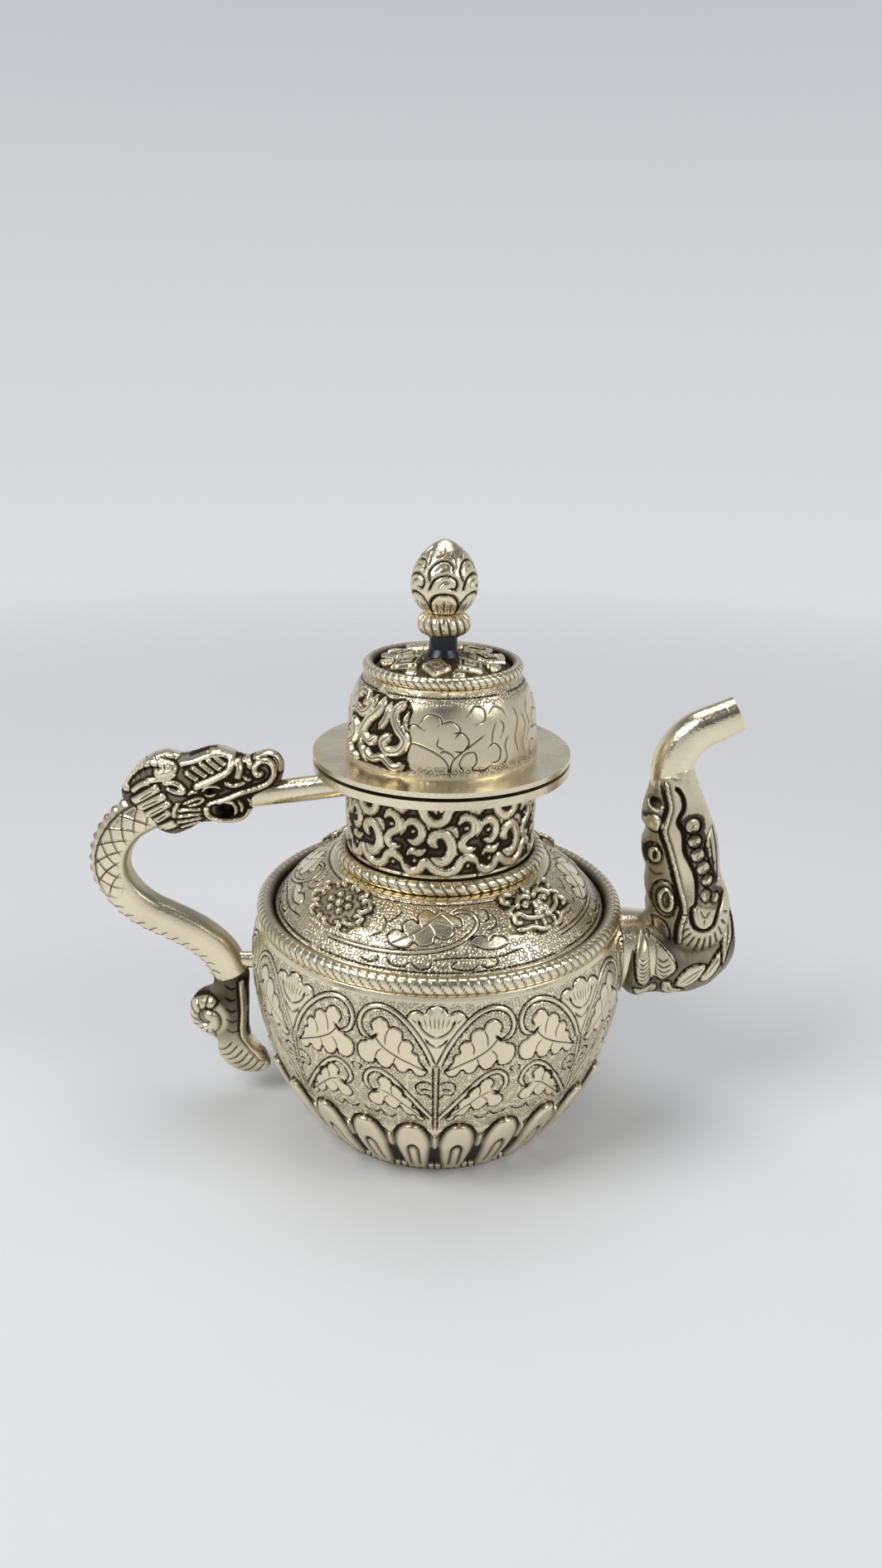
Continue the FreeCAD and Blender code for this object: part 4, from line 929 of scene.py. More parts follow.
def makeMakara():
    ridge = smoothLine(makara["ridge"], 0.5)
    strokes = [stroke(ridge, 0.55, 0.8)]

    def groove(points, width, depth, **more):
        strokes.append(stroke(points, width, -depth, **more))
    groove(ridge - sideways(ridge) * 1.15, 0.5, 0.9)
    groove(makara["wave"], 0.85, 1.1)
    groove(makara["jaw"], 0.85, 1.1)
    for rib in makara["fan"]:
        groove(rib, 0.42, 0.85, taper=0.6)
    for x, z, size in makara["chain"]:
        groove(ellipse(x, z, size, size), 0.42, 0.9, closed=True)
        groove([(x - 0.6, z - 0.7), (x + 0.1, z + 0.2), (x + 0.8, z + 0.2)], 0.22, 0.35)
        groove([(x + 0.1, z + 0.2), (x - 0.3, z + 0.9)], 0.22, 0.35)
    for points in makara["leaf"]:
        groove(points, 0.34, 0.7)
    for points in makara["lips"]:
        groove(points, 0.55, 0.9)
    for x, z, wide, tall in makara["knobs"]:
        groove(ellipse(x, z, wide, tall), 0.5, 1, closed=True)
        strokes.append(stroke(ellipse(x + 0.2, z, wide * 0.5, tall * 0.55), 0.5, 0.7, closed=True))
        groove([(x - 0.1, z + tall * 0.3), (x + 0.4, z), (x, z - tall * 0.3)], 0.3, 0.6)
    groove(makara["mouthLeaf"], 0.45, 0.9, closed=True)
    for z in makara["ticks"]:
        groove([(55.2, z), (56.2, z - 0.5), (57, z - 0.1)], 0.26, 0.5)
    for points in makara["eye"]:
        groove(points, 0.35, 0.6)
    strokes.append(bead(*makara["lump"], 2.1, 0.9))
    groove(makara["brow"], 0.45, 0.8)
    form = twoFaced("makaraBody", makara["outline"], strokes, makaraFullness, makaraGround,
                    [makara["hollow"]])
    dress(form, "pot", "cast_metal", cast, "makara_body")


elbow = {
    "outline": [
        (46.6, 50), (45.8, 44), (46.4, 38.4), (49.6, 35), (52.6, 33.6), (56.4, 35), (59.2, 34.2),
        (62.6, 35), (65.6, 34.8), (68.2, 36.4), (71, 37.4), (72.8, 40), (75.2, 42.6), (76.6, 46.6),
        (76.5, 51.4), (75.2, 57), (73, 60), (66, 60.6), (58.4, 57.6), (53.4, 55.8), (50.2, 55.4)],
    "leaves": [
        [(51, 55), (49.5, 51.3), (49.6, 45.4), (50.6, 42), (52.6, 40.8), (54.3, 42.6), (53.6, 47.6),
          (52.9, 52.4)],
        [(54.8, 52.4), (57.6, 50.2), (60.2, 46.5), (59, 43.8), (56.6, 42.2), (54.9, 44), (54.6, 48)],
        [(60.4, 40.4), (61.4, 44), (64.2, 46.6), (67.8, 46.4), (66.6, 42.8), (63.4, 39.6)],
        [(66.6, 41.6), (67.9, 45.5), (71.6, 49.6), (71.6, 45.6), (69.2, 41.4)],
        [(72.4, 45), (73.8, 48.6), (75.2, 51.6), (74.9, 56.2), (73.4, 58.5), (72.4, 54), (71.9, 49)],
        [(49.6, 40.4), (50.6, 37.4), (53.2, 36.4), (56, 38.4), (55.4, 40.6), (52.6, 39.4)],
        [(57, 41), (57.6, 37.6), (60.4, 36.6), (63.2, 38.2), (60.2, 39.4), (59, 41.8)]],
    "veins": [
        [(61.8, 41.2), (63.8, 43.4), (66.6, 45.6)], [(63, 41), (64.6, 42.4), (66, 44.2)],
        [(67.8, 43), (69.4, 45.4), (71, 48)], [(73.2, 49), (73.9, 52.4), (73.8, 56)],
        [(55.2, 48.6), (56.6, 47.6), (58.2, 48.6)], [(55.2, 47.1), (56.8, 46), (58.8, 47.2)],
        [(55.4, 45.6), (57, 44.6), (59, 45.8)], [(56, 44.1), (57.2, 43.4), (58.4, 44.2)],
        [(51.2, 38.6), (53, 37.6), (54.8, 39)], [(58.6, 40), (59.4, 38.2), (61.4, 38)]],
}


def onLeaves(plan):
    hit = np.zeros(len(plan), bool)
    for leaf in elbow["leaves"]:
        hit |= inside(smoothLine(leaf, 0.5, closed=True), plan)
    return hit


def elbowFullness(plan):
    # full below, thin behind the shell, with the leaves standing out a little
    behind = np.clip((plan[:, 1] - 47) / 9, 0, 1) * np.clip((plan[:, 0] - 57) / 5, 0, 1)
    collar = np.clip((54 - plan[:, 0]) / 5, 0, 1)
    return 1.16 - 0.72 * behind + 0.85 * collar + 0.06 * onLeaves(plan)


def elbowGround(plan):
    return np.where(onLeaves(plan), 0.06, 0.66)


def makeElbow():
    strokes = [stroke(leaf, 0.5, -0.9, closed=True) for leaf in elbow["leaves"]]
    strokes += [stroke(vein, 0.28, -0.55) for vein in elbow["veins"]]
    for step in range(7):
        z = 48.6 - step * 1.1
        strokes.append(stroke([(50.5, z + 0.3), (51.8, z - 0.4), (53.0, z + 0.3)], 0.26, -0.55))
    form = twoFaced("leafElbow", elbow["outline"], strokes, elbowFullness, elbowGround)
    dress(form, "pot", "cast_metal", cast, "spout_elbow")


makeMakara()
makeElbow()

# Base plate with a milled edge
basePlate = {"radius": 31.7, "thick": 1.6, "mills": 118, "depth": 0.35}


def makeBasePlate():
    radius, thick, mills = (basePlate[key] for key in ("radius", "thick", "mills"))

    def milled(angles, share, row):
        notch = np.exp(-(((angles * mills / fullTurn) % 1 - 0.5) / 0.16) ** 2)
        return -basePlate["depth"] * notch, notch
    plate = turnedRelief("basePlate", [(radius, 0), (radius, thick)], [(0, thick), (0, 0)], mills * 6, milled)
    dress(plate, "pot", "plain_metal", chased, "base_plate")


makeBasePlate()

# Shoulder: vine scrolls between four raised medallions
shoulderShape = {
    "outer": [
        (41.95, 57.4), (41.95, 59.4), (41.5, 60.1), (40.4, 61.5), (39.3, 62.8), (38.2, 64), (37, 65.2),
        (35.7, 66.4), (34.3, 67.4), (32.9, 68.4), (31.5, 69.3), (30, 70.2), (28.5, 71), (26.9, 71.7),
        (26.15, 72), (22.75, 72)],
    "inner": [
        (22.75, 70.8), (26.1, 70.8), (28.5, 69.7), (31.5, 67.9), (34.3, 65.8), (36.9, 63.5), (39.2, 60.9),
        (40.75, 58.8), (40.75, 57.4)],
    "band": (3, 21.4), "line": 0.36, "depth": 0.42,
    "stem": [
        (-26, 4.5), (-10.6, 4.8), (-0.3, 6), (6.1, 8.6), (9.7, 12.2), (9, 14.9), (6.1, 15.8), (3.6, 15.2)],
    "leaf": {
        "spine": [(-10.6, 6.5), (-4.8, 10.4), (-1.6, 13.4), (1.6, 15.8)],
        "upper": [
            [(-10.6, 6.5), (-11.6, 8.6), (-10, 10.4), (-8, 9.6)],
            [(-8, 9.6), (-8.8, 11.9), (-6.8, 13.4), (-4.8, 12.2)],
            [(-4.8, 12.2), (-5.4, 14.7), (-3.2, 16.2), (-0.8, 15)], [(-0.8, 15), (0.2, 16.5), (1.6, 15.8)]],
        "lower": [
            [(-10.6, 6.5), (-8.4, 6), (-6.4, 6.4), (-5.6, 7.8)],
            [(-5.6, 7.8), (-3.6, 6.8), (-1.2, 7.6), (-0.8, 9.4)],
            [(-0.8, 9.4), (1.4, 8.6), (3.6, 9.8), (3.6, 11.8)],
            [(3.6, 11.8), (5.4, 11.6), (5.8, 13.2), (4.4, 14.4), (1.6, 15.8)]],
        "veins": [
            [(-8, 9.6), (-7.2, 9.2), (-6.8, 8.9)], [(-4.8, 12.2), (-4.2, 11.6), (-4, 11.1)],
            [(-5.6, 7.8), (-5.6, 8.8), (-6, 9.5)], [(-0.8, 9.4), (-1.4, 10.8), (-2.6, 12.3)],
            [(3.6, 11.8), (2.4, 13.2), (0.6, 14.9)]],
    },
    "lobes": [
        [(6.8, 7.6), (8.4, 9), (10.6, 8.8), (11.2, 7.2)],
        [(11.2, 7.2), (13, 8.6), (15.2, 7.8), (15.6, 6.2)],
        [(6.8, 7.6), (9.4, 6), (12.4, 5.4), (15.6, 6.2)],
        [(11.2, 12.4), (13, 13.2), (13.2, 15.2), (11.6, 16.2)],
        [(11.4, 10.4), (13.4, 10.6), (14.8, 12.2), (14.4, 14.2)],
        [(-10.6, 3.4), (-9.2, 1.9), (-6.8, 1.8), (-5.6, 3.2)],
        [(-5.6, 3.2), (-4, 1.6), (-1.8, 1.8), (-1.2, 3.6)],
        [(4.2, 3.6), (2.6, 2.2), (4.4, 1.4), (6.8, 1.4), (8.4, 2.6)],
        [(8.4, 2.6), (9.8, 1.4), (12, 2), (12.2, 3.6)], [(-1.2, 3.6), (4.2, 4.2), (12.2, 3.6), (18, 4.4)],
        [(-15.6, 7.4), (-13.4, 9), (-13, 11.6), (-14.4, 13.4)], [(-13, 11.6), (-11.2, 13.2), (-9.6, 15.4)],
        [(-16.2, 2.4), (-14, 1.6), (-12.4, 2.6), (-12.6, 3.8)]],
    "smooth": [
        [(6.8, 7.6), (8.4, 9), (10.6, 8.8), (11.2, 7.2), (13, 8.6), (15.2, 7.8), (15.6, 6.2),
          (12.4, 5.4), (9.4, 6)]],
}


def makeShoulder():
    cut = shoulderShape["line"]
    line = smoothLine(shoulderShape["stem"], 0.5)
    normal = sideways(line)
    strokes = [stroke(line + normal * side, cut, -shoulderShape["depth"]) for side in (0.5, -0.5)]
    leaves = [np.vstack([line + normal * 0.5, (line - normal * 0.5)[::-1]])]
    lines, ground = lobedLeaf(shoulderShape["leaf"], cut)
    strokes.extend(lines)
    leaves.append(ground)
    strokes.extend(stroke(lobe, cut, -shoulderShape["depth"]) for lobe in shoulderShape["lobes"])
    leaves.extend(np.array(shape) for shape in shoulderShape["smooth"])
    for level in (0.75, 17.6):
        strokes.append(stroke([(-26.6, level), (0, level), (26.6, level)], 0.3, -0.3, step=1.0))
    form = engravedWall("chasedShoulder", shoulderShape["outer"], shoulderShape["band"],
                        shoulderShape["inner"], 4, strokes, leaves, 48)
    dress(form, "pot", "chased_metal", chased, "shoulder")


makeShoulder()

medallions = {
    "ring": 32.6, "rise": 0.7, "stretch": (1.17, 1.12),
    "curl": ((4.9, -0.3), (6.3, -0.36), (7.5, -0.14), (7.3, 0.16), (6.2, 0.22), (5.6, 0.04)),
    "halfMask": [
        ([(0.6, 2.4), (2.2, 3.2), (4, 2.6), (5, 1.2)], 0.6, 0.9),
        ([(3, 4), (5, 4.6), (7, 4.6), (7.6, 3.2), (6.4, 2.6)], 0.7, 0.9),
        ([(1.2, 1.2), (2.4, 1.9), (3.6, 1.2), (2.4, 0.6)], 0.35, 0.5),
        ([(0.5, 1.4), (0.8, -0.4), (1.5, -1), (0.7, -1.5)], 0.55, 0.9),
        ([(0.4, -2.2), (2.2, -2), (4.2, -1.4), (5.4, -0.2), (6.6, -0.4), (7, -1.8),
          (5.8, -2.2)], 0.55, 0.8),
        ([(1.2, -2.7), (1.4, -4.2)], 0.4, 0.7), ([(2.8, -2.5), (3.2, -3.6)], 0.35, 0.6),
        ([(0.4, -4.8), (2.2, -4.6), (4, -3.6), (5.6, -3.6), (7.2, -3.4)], 0.55, 0.7),
        ([(5.6, 1.8), (6.8, 1), (7.4, -0.2)], 0.5, 0.7), ([(0, 3.4), (0.5, 4.4), (0, 5.2)], 0.6, 0.8)],
    "flower": [
        (-8.6, 0.2), (-7.4, 2.6), (-5.2, 3.4), (-3.8, 5.4), (-1.2, 5.2), (0.8, 6), (3.2, 5), (5, 5.2),
        (6.4, 3.2), (8.4, 2), (8.2, -0.6), (8.6, -2.6), (6.2, -3.4), (4.8, -5.4), (2, -5), (0, -6),
        (-2.4, -5), (-5, -5.4), (-6.2, -3.2), (-8.2, -2.4)],
    "mask": [
        (-8.6, 3.4), (-7.4, 5.6), (-5.2, 5), (-3.6, 3.8), (-1.8, 5.4), (0, 6), (1.8, 5.4), (3.6, 3.8),
        (5.2, 5), (7.4, 5.6), (8.6, 3.4), (7.4, 1.4), (8.2, -0.8), (8.4, -3.4), (6.4, -4.6), (4.4, -4.2),
        (2.6, -5.8), (0, -5.4), (-2.6, -5.8), (-4.4, -4.2), (-6.4, -4.6), (-8.4, -3.4), (-8.2, -0.8),
        (-7.4, 1.4)],
}


def flowerStrokes():
    strokes = [bead(0, 0, 1.0, 0.9)]
    for step in range(6):
        a = step * math.pi / 3
        strokes.append(bead(3 * math.cos(a), 2.2 * math.sin(a), 0.85, 0.8))
    for step in range(8):
        a = step * math.pi / 4 + 0.3
        curl = [(1.18 * r * math.cos(a + d), 0.84 * r * math.sin(a + d)) for r, d in medallions["curl"]]
        strokes.append(stroke(curl, 0.62, 1.0, step=0.3))
    return strokes


def maskStrokes():
    strokes = mirrored([stroke(np.array(points) * 1.15, width * 1.2, height * 1.15, taper=0.6, step=0.3)
                        for points, width, height in medallions["halfMask"]])
    return strokes + [bead(2.8, 1.4, 0.55, 0.7), bead(-2.8, 1.4, 0.55, 0.7), bead(0, -0.7, 0.9, 1.1)]


def makeMedallions():
    ring = medallions["ring"]
    at, length = alongProfile(shoulderShape["outer"])
    runs = np.linspace(0, length, 400)
    middle = runs[np.argmin(np.abs(at(runs)[0] - ring))]
    for number, kind in ((1, "flower"), (2, "mask"), (3, "flower"), (4, "mask")):
        turn = math.radians(45 + 90 * (number - 1))

        def place(plan, lift, copy):
            return carried(at, middle + plan[:, 1], turn + plan[:, 0] / ring, lift)
        strokes = flowerStrokes() if kind == "flower" else maskStrokes()
        outline = np.array(medallions[kind]) * medallions["stretch"]
        form = plateOn(kind + "Medallion." + str(number), outline, strokes, medallions["rise"], place, 1,
                       0.36, 0.5)
        dress(form, "pot", "cast_metal", cast, "medallion_" + str(number))


makeMedallions()

# Neck sleeve: pierced-looking cloud scrolls over a dark ground
neckSleeve = {
    "radius": 22.82, "from": 75.4, "upTo": 96, "inner": 22.75, "sectors": 8, "perSector": 58, "dark": 0.84,
    "scrolls": [
        ([(-1.9, 5.4), (0.6, 4.4), (2.4, 6.2), (2.6, 9), (1, 11.4), (-1.2, 11), (-1.8, 9.2),
          (-0.6, 8.2)], 1.05),
        ([(-9.2, 16), (-7.2, 18.6), (-4.6, 18), (-3.4, 15.4), (-1.4, 14), (1, 14.8), (2.2, 17.4),
          (4.6, 18.8), (7, 17.8), (9.3, 16)], 0.95),
        ([(-9.2, 3.4), (-7, 1.6), (-4.8, 2.2), (-3.4, 4.2), (-1.2, 2.4), (1.6, 1.6), (4, 2.6),
          (5.2, 4.8), (7.2, 5.2), (9.3, 3.4)], 0.95),
        ([(-8.4, 12.6), (-6.6, 14.2), (-4.6, 13), (-4.3, 10.6), (-5.8, 9), (-7.6, 9.6)], 0.85),
        ([(4.2, 13.8), (5.8, 15.4), (7.8, 14.2), (7.9, 11.8), (6, 10.4), (5, 8.6), (6.2, 7.2),
          (8.4, 7.4)], 0.85),
        ([(-3.2, 7.6), (-4.8, 6.4), (-6.6, 6.8), (-7.8, 5.6)], 0.75),
        ([(1.4, 13), (3.2, 12.4), (3.9, 10.4)], 0.7), ([(-2.4, 12.4), (-3, 13.8)], 0.7),
        ([(-0.8, 16.4), (-1.4, 18.6), (0.2, 19.4)], 0.7), ([(8.6, 10.4), (9.4, 12.6), (8.8, 14.8)], 0.6)],
    "dots": [(-6.3, 11.7), (6.2, 12.7), (0.2, 17.2), (-5.9, 4.4), (6.6, 3.2), (3.7, 6.4)],
}


def makeNeckSleeve():
    scrolls = neckSleeve["scrolls"]
    strokes = [stroke(points, width * 1.12, 0.78, taper=3.2, step=0.35) for points, width in scrolls]
    strokes += [stroke(points, 0.24, -0.22, taper=1.6, step=0.35) for points, _ in scrolls]
    strokes += [bead(x, z, 0.5, 0.4) for x, z in neckSleeve["dots"]]
    for level in (0.35, 20.2):
        strokes.append(stroke([(-9, level), (0, level), (9, level)], 0.5, 0.5, taper=0.01, step=0.6))
    radius, within, low, high = (neckSleeve[key] for key in ("radius", "inner", "from", "upTo"))
    sleeve = sectorRelief("neckSleeve", [(radius, low), (radius, high)], [(within, high), (within, low)],
                          neckSleeve["sectors"], neckSleeve["perSector"], strokes, radius,
                          neckSleeve["dark"], 0.33)
    dress(sleeve, "pot", "cast_metal", cast, "neck_sleeve")


makeNeckSleeve()

# Lid: engraved dome with two flame panels, petal crown and bud finial
lidDome = {
    "outer": [
        (23.3, 100.1), (23.15, 102.1), (23, 104.1), (22.85, 106.1), (22.7, 108.1), (22.65, 109.2),
        (22.5, 110.6), (22.2, 112.2), (21.7, 113.9), (21, 115.6), (20.1, 117.2), (19.1, 118.7),
        (18.2, 119.7), (14.6, 119.7)],
    "inner": [
        (14.6, 118.5), (17, 118.5), (18.7, 116.6), (20.2, 114.1), (21.2, 111), (21.5, 108.1), (22.1, 100.1)],
    "band": (0.4, 20.4), "line": 0.3,
    "drawn": [
        [(-7.5, 7.5), (-8.6, 10.4), (-6.6, 12.2), (-4.2, 11.2)],
        [(-5.4, 12), (-3.6, 14.6), (-0.6, 14.2), (0.2, 12)],
        [(-0.4, 12.4), (2.2, 13.2), (4.2, 11.4), (3, 9.4)],
        [(2.6, 10.6), (4.8, 10.4), (6.2, 8.4), (4.8, 6.2), (2.8, 6.4)],
        [(-0.6, 9.4), (-1, 7.8), (0.6, 6.8)],
        [(-9.5, 8.2), (-4.5, 7.4), (-0.5, 5.4), (1.4, 3.2), (1.5, 0.9)],
        [(9.8, 9.6), (5.6, 6.8), (2.6, 4.2), (1.9, 0.9)],
        [(-0.4, 5.9), (0.6, 6.4), (2.2, 5.6), (2.9, 4.6)],
        [(5, 1.6), (4, 3.4), (5.2, 5.6), (7.4, 5.8), (8, 3.8), (7, 2), (9.4, 1.4), (11.8, 2.6)],
        [(11.6, 3), (13.6, 3.2), (14.2, 5.6), (12.6, 7.4), (10.8, 6.6)],
        [(11.8, 7.4), (12.2, 10.2), (13.2, 12.2)],
        [(6.2, 14.6), (8.2, 16.4), (10.4, 15.4), (10.2, 13), (8.6, 12.4)],
        [(11.4, 14.2), (13.4, 15.8), (15.6, 14.8), (16.4, 13)],
        [(-9.6, 1.6), (-10.6, 3.6), (-8.8, 5.2), (-7.6, 4.6)],
        [(14.8, 2), (16.2, 3.6), (15.6, 6.4), (16.6, 8.6)], [(14.6, 9), (15.4, 11), (14.4, 12.6)],
        [(-12.6, 3), (-13.6, 6), (-12.2, 9.4), (-13.4, 13)],
        [(-11.4, 6.4), (-10.2, 9.2), (-11.2, 12.8), (-9.4, 15.2)],
        [(-15.4, 4), (-16.4, 8), (-15.2, 12), (-16.2, 15)]],
    "flames": [
        ([(-6.2, 15.4), (-5.4, 17.4), (-3.4, 17.2), (-3, 15.4), (-4.4, 14.6)], 0.75),
        ([(-7.4, 12.2), (-5.6, 13.4), (-3.2, 12.8), (-1.6, 14.6), (-1.2, 17.4)], 0.85),
        ([(-6.8, 10.6), (-4.6, 9.2), (-5.4, 6.4), (-7, 4.8), (-6, 2.4), (-3.8, 1.8)], 0.95),
        ([(1, 17.4), (0.6, 14.6), (-1.4, 12), (-2.6, 9), (-0.8, 7), (0.8, 8.4)], 0.95),
        ([(5.6, 17.2), (4, 14.6), (4.8, 11.6), (6.4, 9), (5.4, 6.4), (3, 5.8), (2.2, 7.8), (3.6, 9.4)], 1),
        ([(-2.2, 5), (-0.2, 3.2), (2.2, 4), (4.4, 2.2), (6.4, 3)], 0.8),
        ([(2.8, 16.6), (2.4, 12.8), (1, 10.4)], 0.75), ([(-3.6, 7.4), (-2.8, 4.8), (-1.6, 2)], 0.6),
        ([(6.6, 15), (6.2, 12.4), (6.8, 11.2)], 0.55)],
    "panel": [
        (-7.6, 1.2), (-3.8, 0.9), (0, 1.2), (4.2, 0.9), (7.4, 1.8), (7, 5), (7.6, 9), (7, 12.6), (7.4, 16),
        (5.4, 18.4), (2.4, 17.8), (-0.4, 18.6), (-3.6, 18.4), (-6.6, 18), (-7.2, 14.4), (-8, 11),
        (-7.2, 7), (-8, 4)],
    "panelAt": (228, 48), "panelRing": 22.5, "panelWide": 1.3,
}


def makeLidDome():
    strokes = [stroke(points, lidDome["line"], -0.32, step=0.35) for points in lidDome["drawn"]]
    strokes.append(stroke([(-16.4, 18.4), (0, 18.4), (16.4, 18.4)], 0.3, -0.25, step=1.0))
    smooth = [np.array([(-18, 2.4), (18, 2.4), (18, 16.2), (-18, 16.2)])]
    dome = engravedWall("engravedDome", lidDome["outer"], lidDome["band"], lidDome["inner"], 4, strokes,
                        smooth, 48, sink=0.06, ground=0.2)
    dress(dome, "lid", "chased_metal", chased, "lid_dome")
    at, _ = alongProfile(lidDome["outer"])

    def place(plan, lift, copy):
        turn = math.radians(lidDome["panelAt"][copy])
        return carried(at, plan[:, 1], turn + plan[:, 0] / lidDome["panelRing"], lift)
    wider = (lidDome["panelWide"], 1)
    tongues = [(np.array(points) * wider, width) for points, width in lidDome["flames"]]
    flames = [stroke(points, width * 1.32, 1.2, taper=2.6, step=0.35) for points, width in tongues]
    flames += [stroke(points, 0.26, -0.35, taper=1.6, step=0.35) for points, _ in tongues]
    panels = plateOn("flamePanels", np.array(lidDome["panel"]) * wider, flames, 0.25, place,
                     len(lidDome["panelAt"]), 0.4, 0.85)
    dress(panels, "lid", "cast_metal", cast)


makeLidDome()

lidCrown = {
    "petals": 8, "inner": 5.2, "middle": 10.4, "outer": 15.5, "wide": 3.7, "rise": 0.8, "sunk": 1.3,
    "twist": 0.25, "top": 123.8, "topRadius": 4.3, "slope": 0.17,
    "tip": [(-1.7, 14.6), (-0.9, 12.6), (0, 11.4), (0.9, 12.6), (1.7, 14.6), (0.9, 15.4), (-0.9, 15.4)],
}


def makeCrown():
    count, middle, wide, sunk = (lidCrown[key] for key in ("petals", "middle", "wide", "sunk"))
    corners = np.array([(0, lidCrown["inner"]), (wide, middle), (0, lidCrown["outer"]), (-wide, middle)])
    outline = [tuple(a * (1 - t) + b * t) for a, b in zip(corners, np.roll(corners, -1, axis=0))
               for t in (0, 0.25, 0.5, 0.75)]

    def diamond(share):
        return [(x * share, middle + (y - middle) * share) for x, y in outline]

    def placing(start):
        def place(plan, lift, copy):
            turn = (copy + start) * fullTurn / count + front + lidCrown["twist"]
            x, y = plan[:, 1], plan[:, 0]
            level = lidCrown["top"] - (np.hypot(x, y) - lidCrown["topRadius"]) * lidCrown["slope"] + lift
            cos, sin = math.cos(turn), math.sin(turn)
            return np.column_stack([x * cos - y * sin, x * sin + y * cos, level])
        return place
    strokes = [stroke(diamond(0.58), 0.3, -0.42, closed=True, step=0.3),
               stroke(diamond(0.34), 0.55, 0.3, closed=True, step=0.3)]
    crown = plateOn("crownPetals", outline, strokes, lidCrown["rise"], placing(0.5), count, 0.4, 0.1, sunk)
    dress(crown, "lid", "cast_metal", cast, "crown_petals")
    ridge = [stroke([(-0.9, 14.4), (0, 12.6), (0.9, 14.4)], 0.3, -0.3, step=0.3)]
    tips = plateOn("crownTips", lidCrown["tip"], ridge, 0.6, placing(0), count, 0.45, 0.1, sunk)
    dress(tips, "lid", "cast_metal", cast)


makeCrown()

finial = {
    "bud": [
        (0, 133.7), (3.9, 133.7), (5, 134.1), (5.9, 134.9), (6.6, 135.8), (7.1, 136.6), (7.6, 137.9),
        (7.9, 139.5), (7.8, 141.2), (7.5, 143.1), (6.7, 145), (5.5, 147), (4.1, 148.5), (2.5, 149.7),
        (1, 150.4), (0, 150.6)],
    "petals": [
        ([(-3.7, 4.4), (-3.6, 8), (-2.4, 10.2), (0, 11), (2.4, 10.2), (3.6, 8), (3.7, 4.4)], 0.48, -0.8),
        ([(-1.9, 5), (-1.8, 8.6)], 0.34, -0.55), ([(0, 5), (0, 9.3)], 0.34, -0.55),
        ([(1.9, 5), (1.8, 8.6)], 0.34, -0.55),
        ([(-3.7, 11.6), (-2.2, 14.4), (0.6, 15.4), (2.8, 14.2), (2.6, 12.4), (0.9, 12.4)], 0.46, -0.8),
        ([(-3.2, 13.6), (-3.9, 16.2), (-2, 18.4), (0.8, 18.8), (2.4, 17.4), (1.8, 16.2)], 0.44, -0.7),
        ([(-1.4, 12.4), (-0.2, 13.8), (1.2, 13.9)], 0.34, -0.5),
        ([(-2.2, 16.2), (-0.8, 17.4), (0.6, 17.3)], 0.32, -0.45),
        ([(-2.8, 19.4), (-0.6, 20.4), (0.4, 22.4)], 0.4, -0.55),
        ([(3, 16.8), (3.4, 19), (2.2, 20.8)], 0.38, -0.55)],
    "collar": [
        (3.3, 128.3), (4.5, 128.4), (5.5, 129), (6.1, 129.8), (6.4, 130.9), (6.3, 131.7), (6, 132.5),
        (5.2, 133.3), (4.4, 133.7)],
    "gadroons": 18, "budRadius": 7.5, "bore": 1.4,
}


def makeFinial():
    strokes = [stroke(*cut, taper=0.8, step=0.35) for cut in finial["petals"]]
    bud = sectorRelief("finialBud", finial["bud"], [], 6, 34, strokes, finial["budRadius"], 0, 0.32)
    dress(bud, "lid", "cast_metal", cast, "finial_bud")
    count, bore = finial["gadroons"], finial["bore"]

    def gadroon(angles, share, row):
        phase = (angles * count / fullTurn + 0.7 * share) % 1
        notch = np.exp(-((phase - 0.5) / 0.15) ** 2) * math.sin(math.pi * min(max(share, 0.02), 0.98)) ** 0.5
        return -0.6 * notch, notch
    inner = [(bore, finial["collar"][-1][1]), (bore, finial["collar"][0][1])]
    collar = turnedRelief("finialCollar", finial["collar"], inner, count * 12, gadroon, 0.3)
    dress(collar, "lid", "cast_metal", cast, "finial_collar")


makeFinial()

# Plain CAD pieces that keep their shape
# the neck and the crown's ground between the petals take a plain dark brown
plainFinish = {
    "neck": darkBrown, "rim_flange": cast, "handle_strut": polished, "handle_lug": polished,
    "spout_collar": polished, "spout_tube": polished, "lid_plate": cast, "lid_bezel": polished,
    "finial_rivet": polished, "lid_crown": darkBrown, "finial_stem": bluishDark,
}
for node, metal in plainFinish.items():
    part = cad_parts[node]
    part.data.materials.clear()
    part.data.materials.append(metal)

# Studio: pale floor fading into the air, soft lamps and a few dark cards for the metal to mirror
studio = {
    "floor": (0.84, 0.85, 0.86, 1), "floorSize": 6, "fade": (0.2, 0.8), "aim": (0, 0, 0.07),
    "air": [
        (0, (0.76, 0.78, 0.8, 1)), (0.29, (0.66, 0.68, 0.7, 1)), (0.46, (0.54, 0.56, 0.59, 1)),
        (0.75, (0.16, 0.17, 0.19, 1)), (1, (0.08, 0.08, 0.09, 1))],
    "airBelow": 0.4, "ink": (0.02, 0.02, 0.02, 1),
    "cards": [
        ((0, -0.8, 0.62), 0.3, 0.3), ((-0.75, -0.55, 0.42), 0.22, 0.4), ((0.8, -0.45, 0.42), 0.22, 0.4)],
    "lamps": [
        ("keyLight", (-0.5, -0.3, 0.75), 0.4, 3.6), ("fillLight", (0.6, -0.3, 0.6), 0.4, 2),
        ("topLight", (0, 0.25, 0.9), 0.6, 2.2)],
}


def aimed(spot, axis):
    return (Vector(studio["aim"]) - Vector(spot)).to_track_quat(axis, "Y").to_euler()


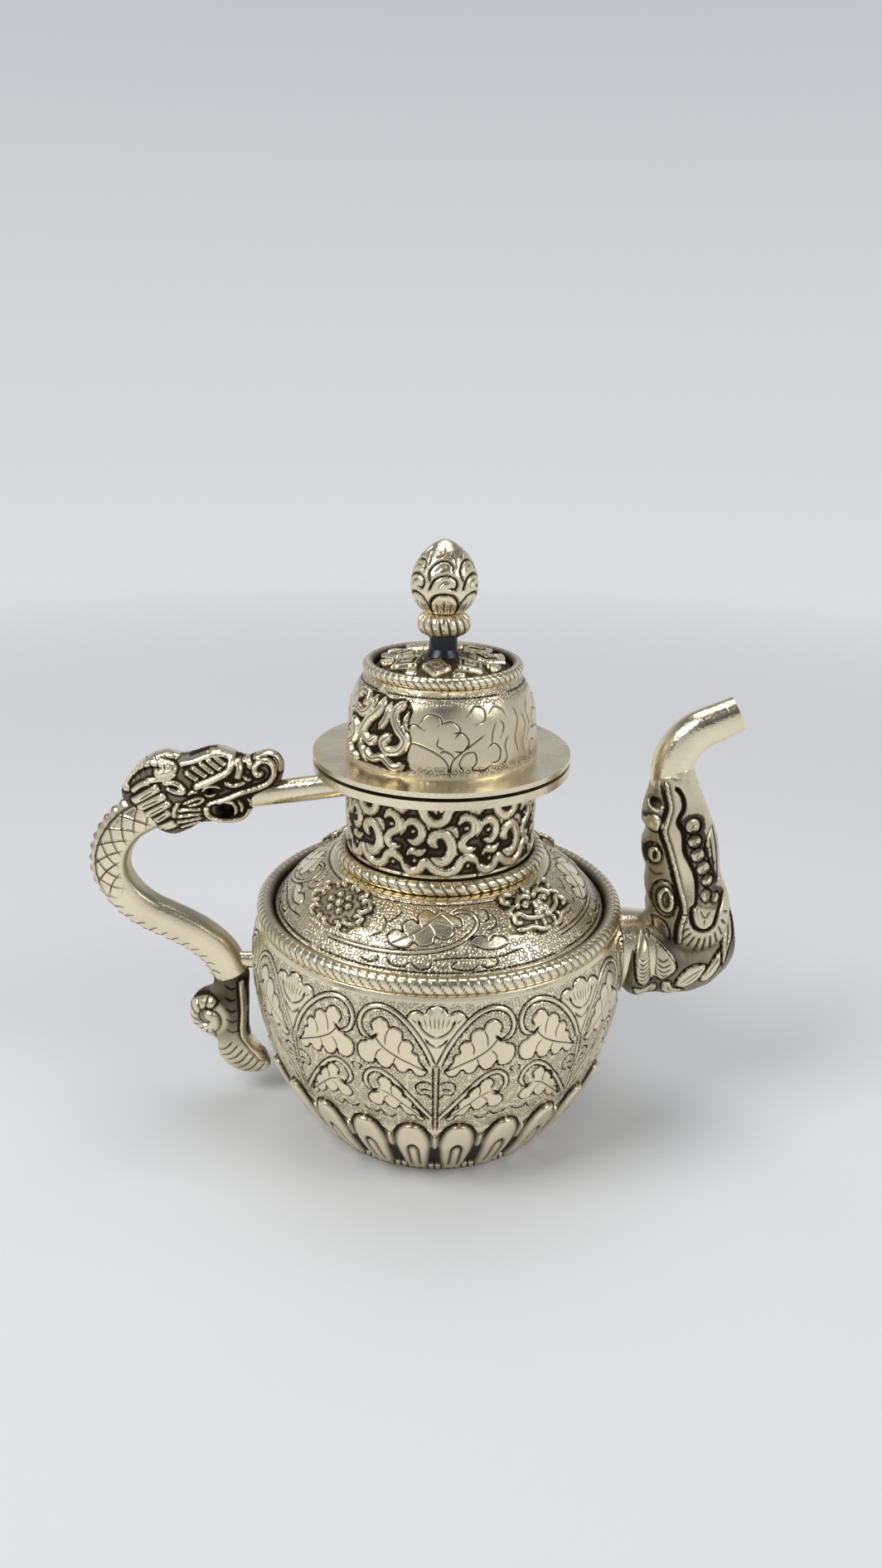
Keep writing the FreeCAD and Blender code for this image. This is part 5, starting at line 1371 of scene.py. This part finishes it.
def makeFloor():
    bpy.ops.mesh.primitive_plane_add(size=studio["floorSize"])
    floor = bpy.context.object
    floor.name = "floor"
    paper = bpy.data.materials.new("palePaper")
    paper.use_nodes = True
    tree = paper.node_tree
    shader = tree.nodes["Principled BSDF"]
    shader.inputs["Base Color"].default_value = studio["floor"]
    shader.inputs["Roughness"].default_value = 0.6
    shader.inputs["Specular IOR Level"].default_value = 0.2
    middle = addNode(tree, "TexCoord", {}).outputs["Object"]
    away = addNode(tree, "VectorMath", {0: middle}, operation="LENGTH").outputs["Value"]
    near, far = studio["fade"]
    fade = addNode(tree, "MapRange", {"From Min": near, "From Max": far, "Value": away},
                   interpolation_type="SMOOTHSTEP").outputs[0]
    clear = addNode(tree, "BsdfTransparent", {}).outputs[0]
    blend = addNode(tree, "MixShader", {0: fade, 1: shader.outputs[0], 2: clear})
    tree.links.new(blend.outputs[0], tree.nodes["Material Output"].inputs["Surface"])
    floor.data.materials.append(paper)


def makeCards():
    ink = bpy.data.materials.new("darkCard")
    ink.use_nodes = True
    ink.node_tree.nodes["Principled BSDF"].inputs["Base Color"].default_value = studio["ink"]
    for number, (spot, wide, tall) in enumerate(studio["cards"]):
        bpy.ops.mesh.primitive_plane_add(size=1, location=spot)
        card = bpy.context.object
        card.name = "card." + str(number)
        card.scale = (wide, tall, 1)
        card.rotation_euler = aimed(spot, "Z")
        card.data.materials.append(ink)
        card.visible_camera = False


def makeAir():
    world = bpy.data.worlds.new("studioAir")
    scene.world = world
    world.use_nodes = True
    tree = world.node_tree
    direction = addNode(tree, "TexCoord", {}).outputs["Generated"]
    split = addNode(tree, "SeparateXYZ", {0: direction})
    below = studio["airBelow"]
    raised = mathNode(tree, "ADD", split.outputs["Z"], below)
    ramp = addNode(tree, "ValToRGB", {0: mathNode(tree, "MULTIPLY", raised, 1 / (1 + below))})
    while len(ramp.color_ramp.elements) < len(studio["air"]):
        ramp.color_ramp.elements.new(0.5)
    for element, (position, colour) in zip(ramp.color_ramp.elements, studio["air"]):
        element.position = position
        element.color = colour
    tree.links.new(ramp.outputs[0], tree.nodes["Background"].inputs["Color"])


def makeLamps():
    for name, spot, size, power in studio["lamps"]:
        lamp = bpy.data.lights.new(name, "AREA")
        lamp.size = size
        lamp.energy = power
        holder = bpy.data.objects.new(name, lamp)
        holder.location = spot
        holder.rotation_euler = aimed(spot, "-Z")
        scene.collection.objects.link(holder)


cameraSetting = {"place": (0, -0.269, 0.1915), "tilt": 69.44, "roll": 1, "lens": 26.7}


def makeCamera():
    eye = bpy.data.cameras.new("camera")
    eye.lens = cameraSetting["lens"]
    eye.clip_start = 0.01
    holder = bpy.data.objects.new("camera", eye)
    tilt = Matrix.Rotation(math.radians(cameraSetting["tilt"]), 4, "X")
    roll = Matrix.Rotation(math.radians(cameraSetting["roll"]), 4, "Z")
    holder.matrix_world = Matrix.Translation(cameraSetting["place"]) @ tilt @ roll
    scene.collection.objects.link(holder)
    scene.camera = holder


makeFloor()
makeCards()
makeAir()
makeLamps()
makeCamera()
scene.view_settings.view_transform = "Standard"
print("studio ready")
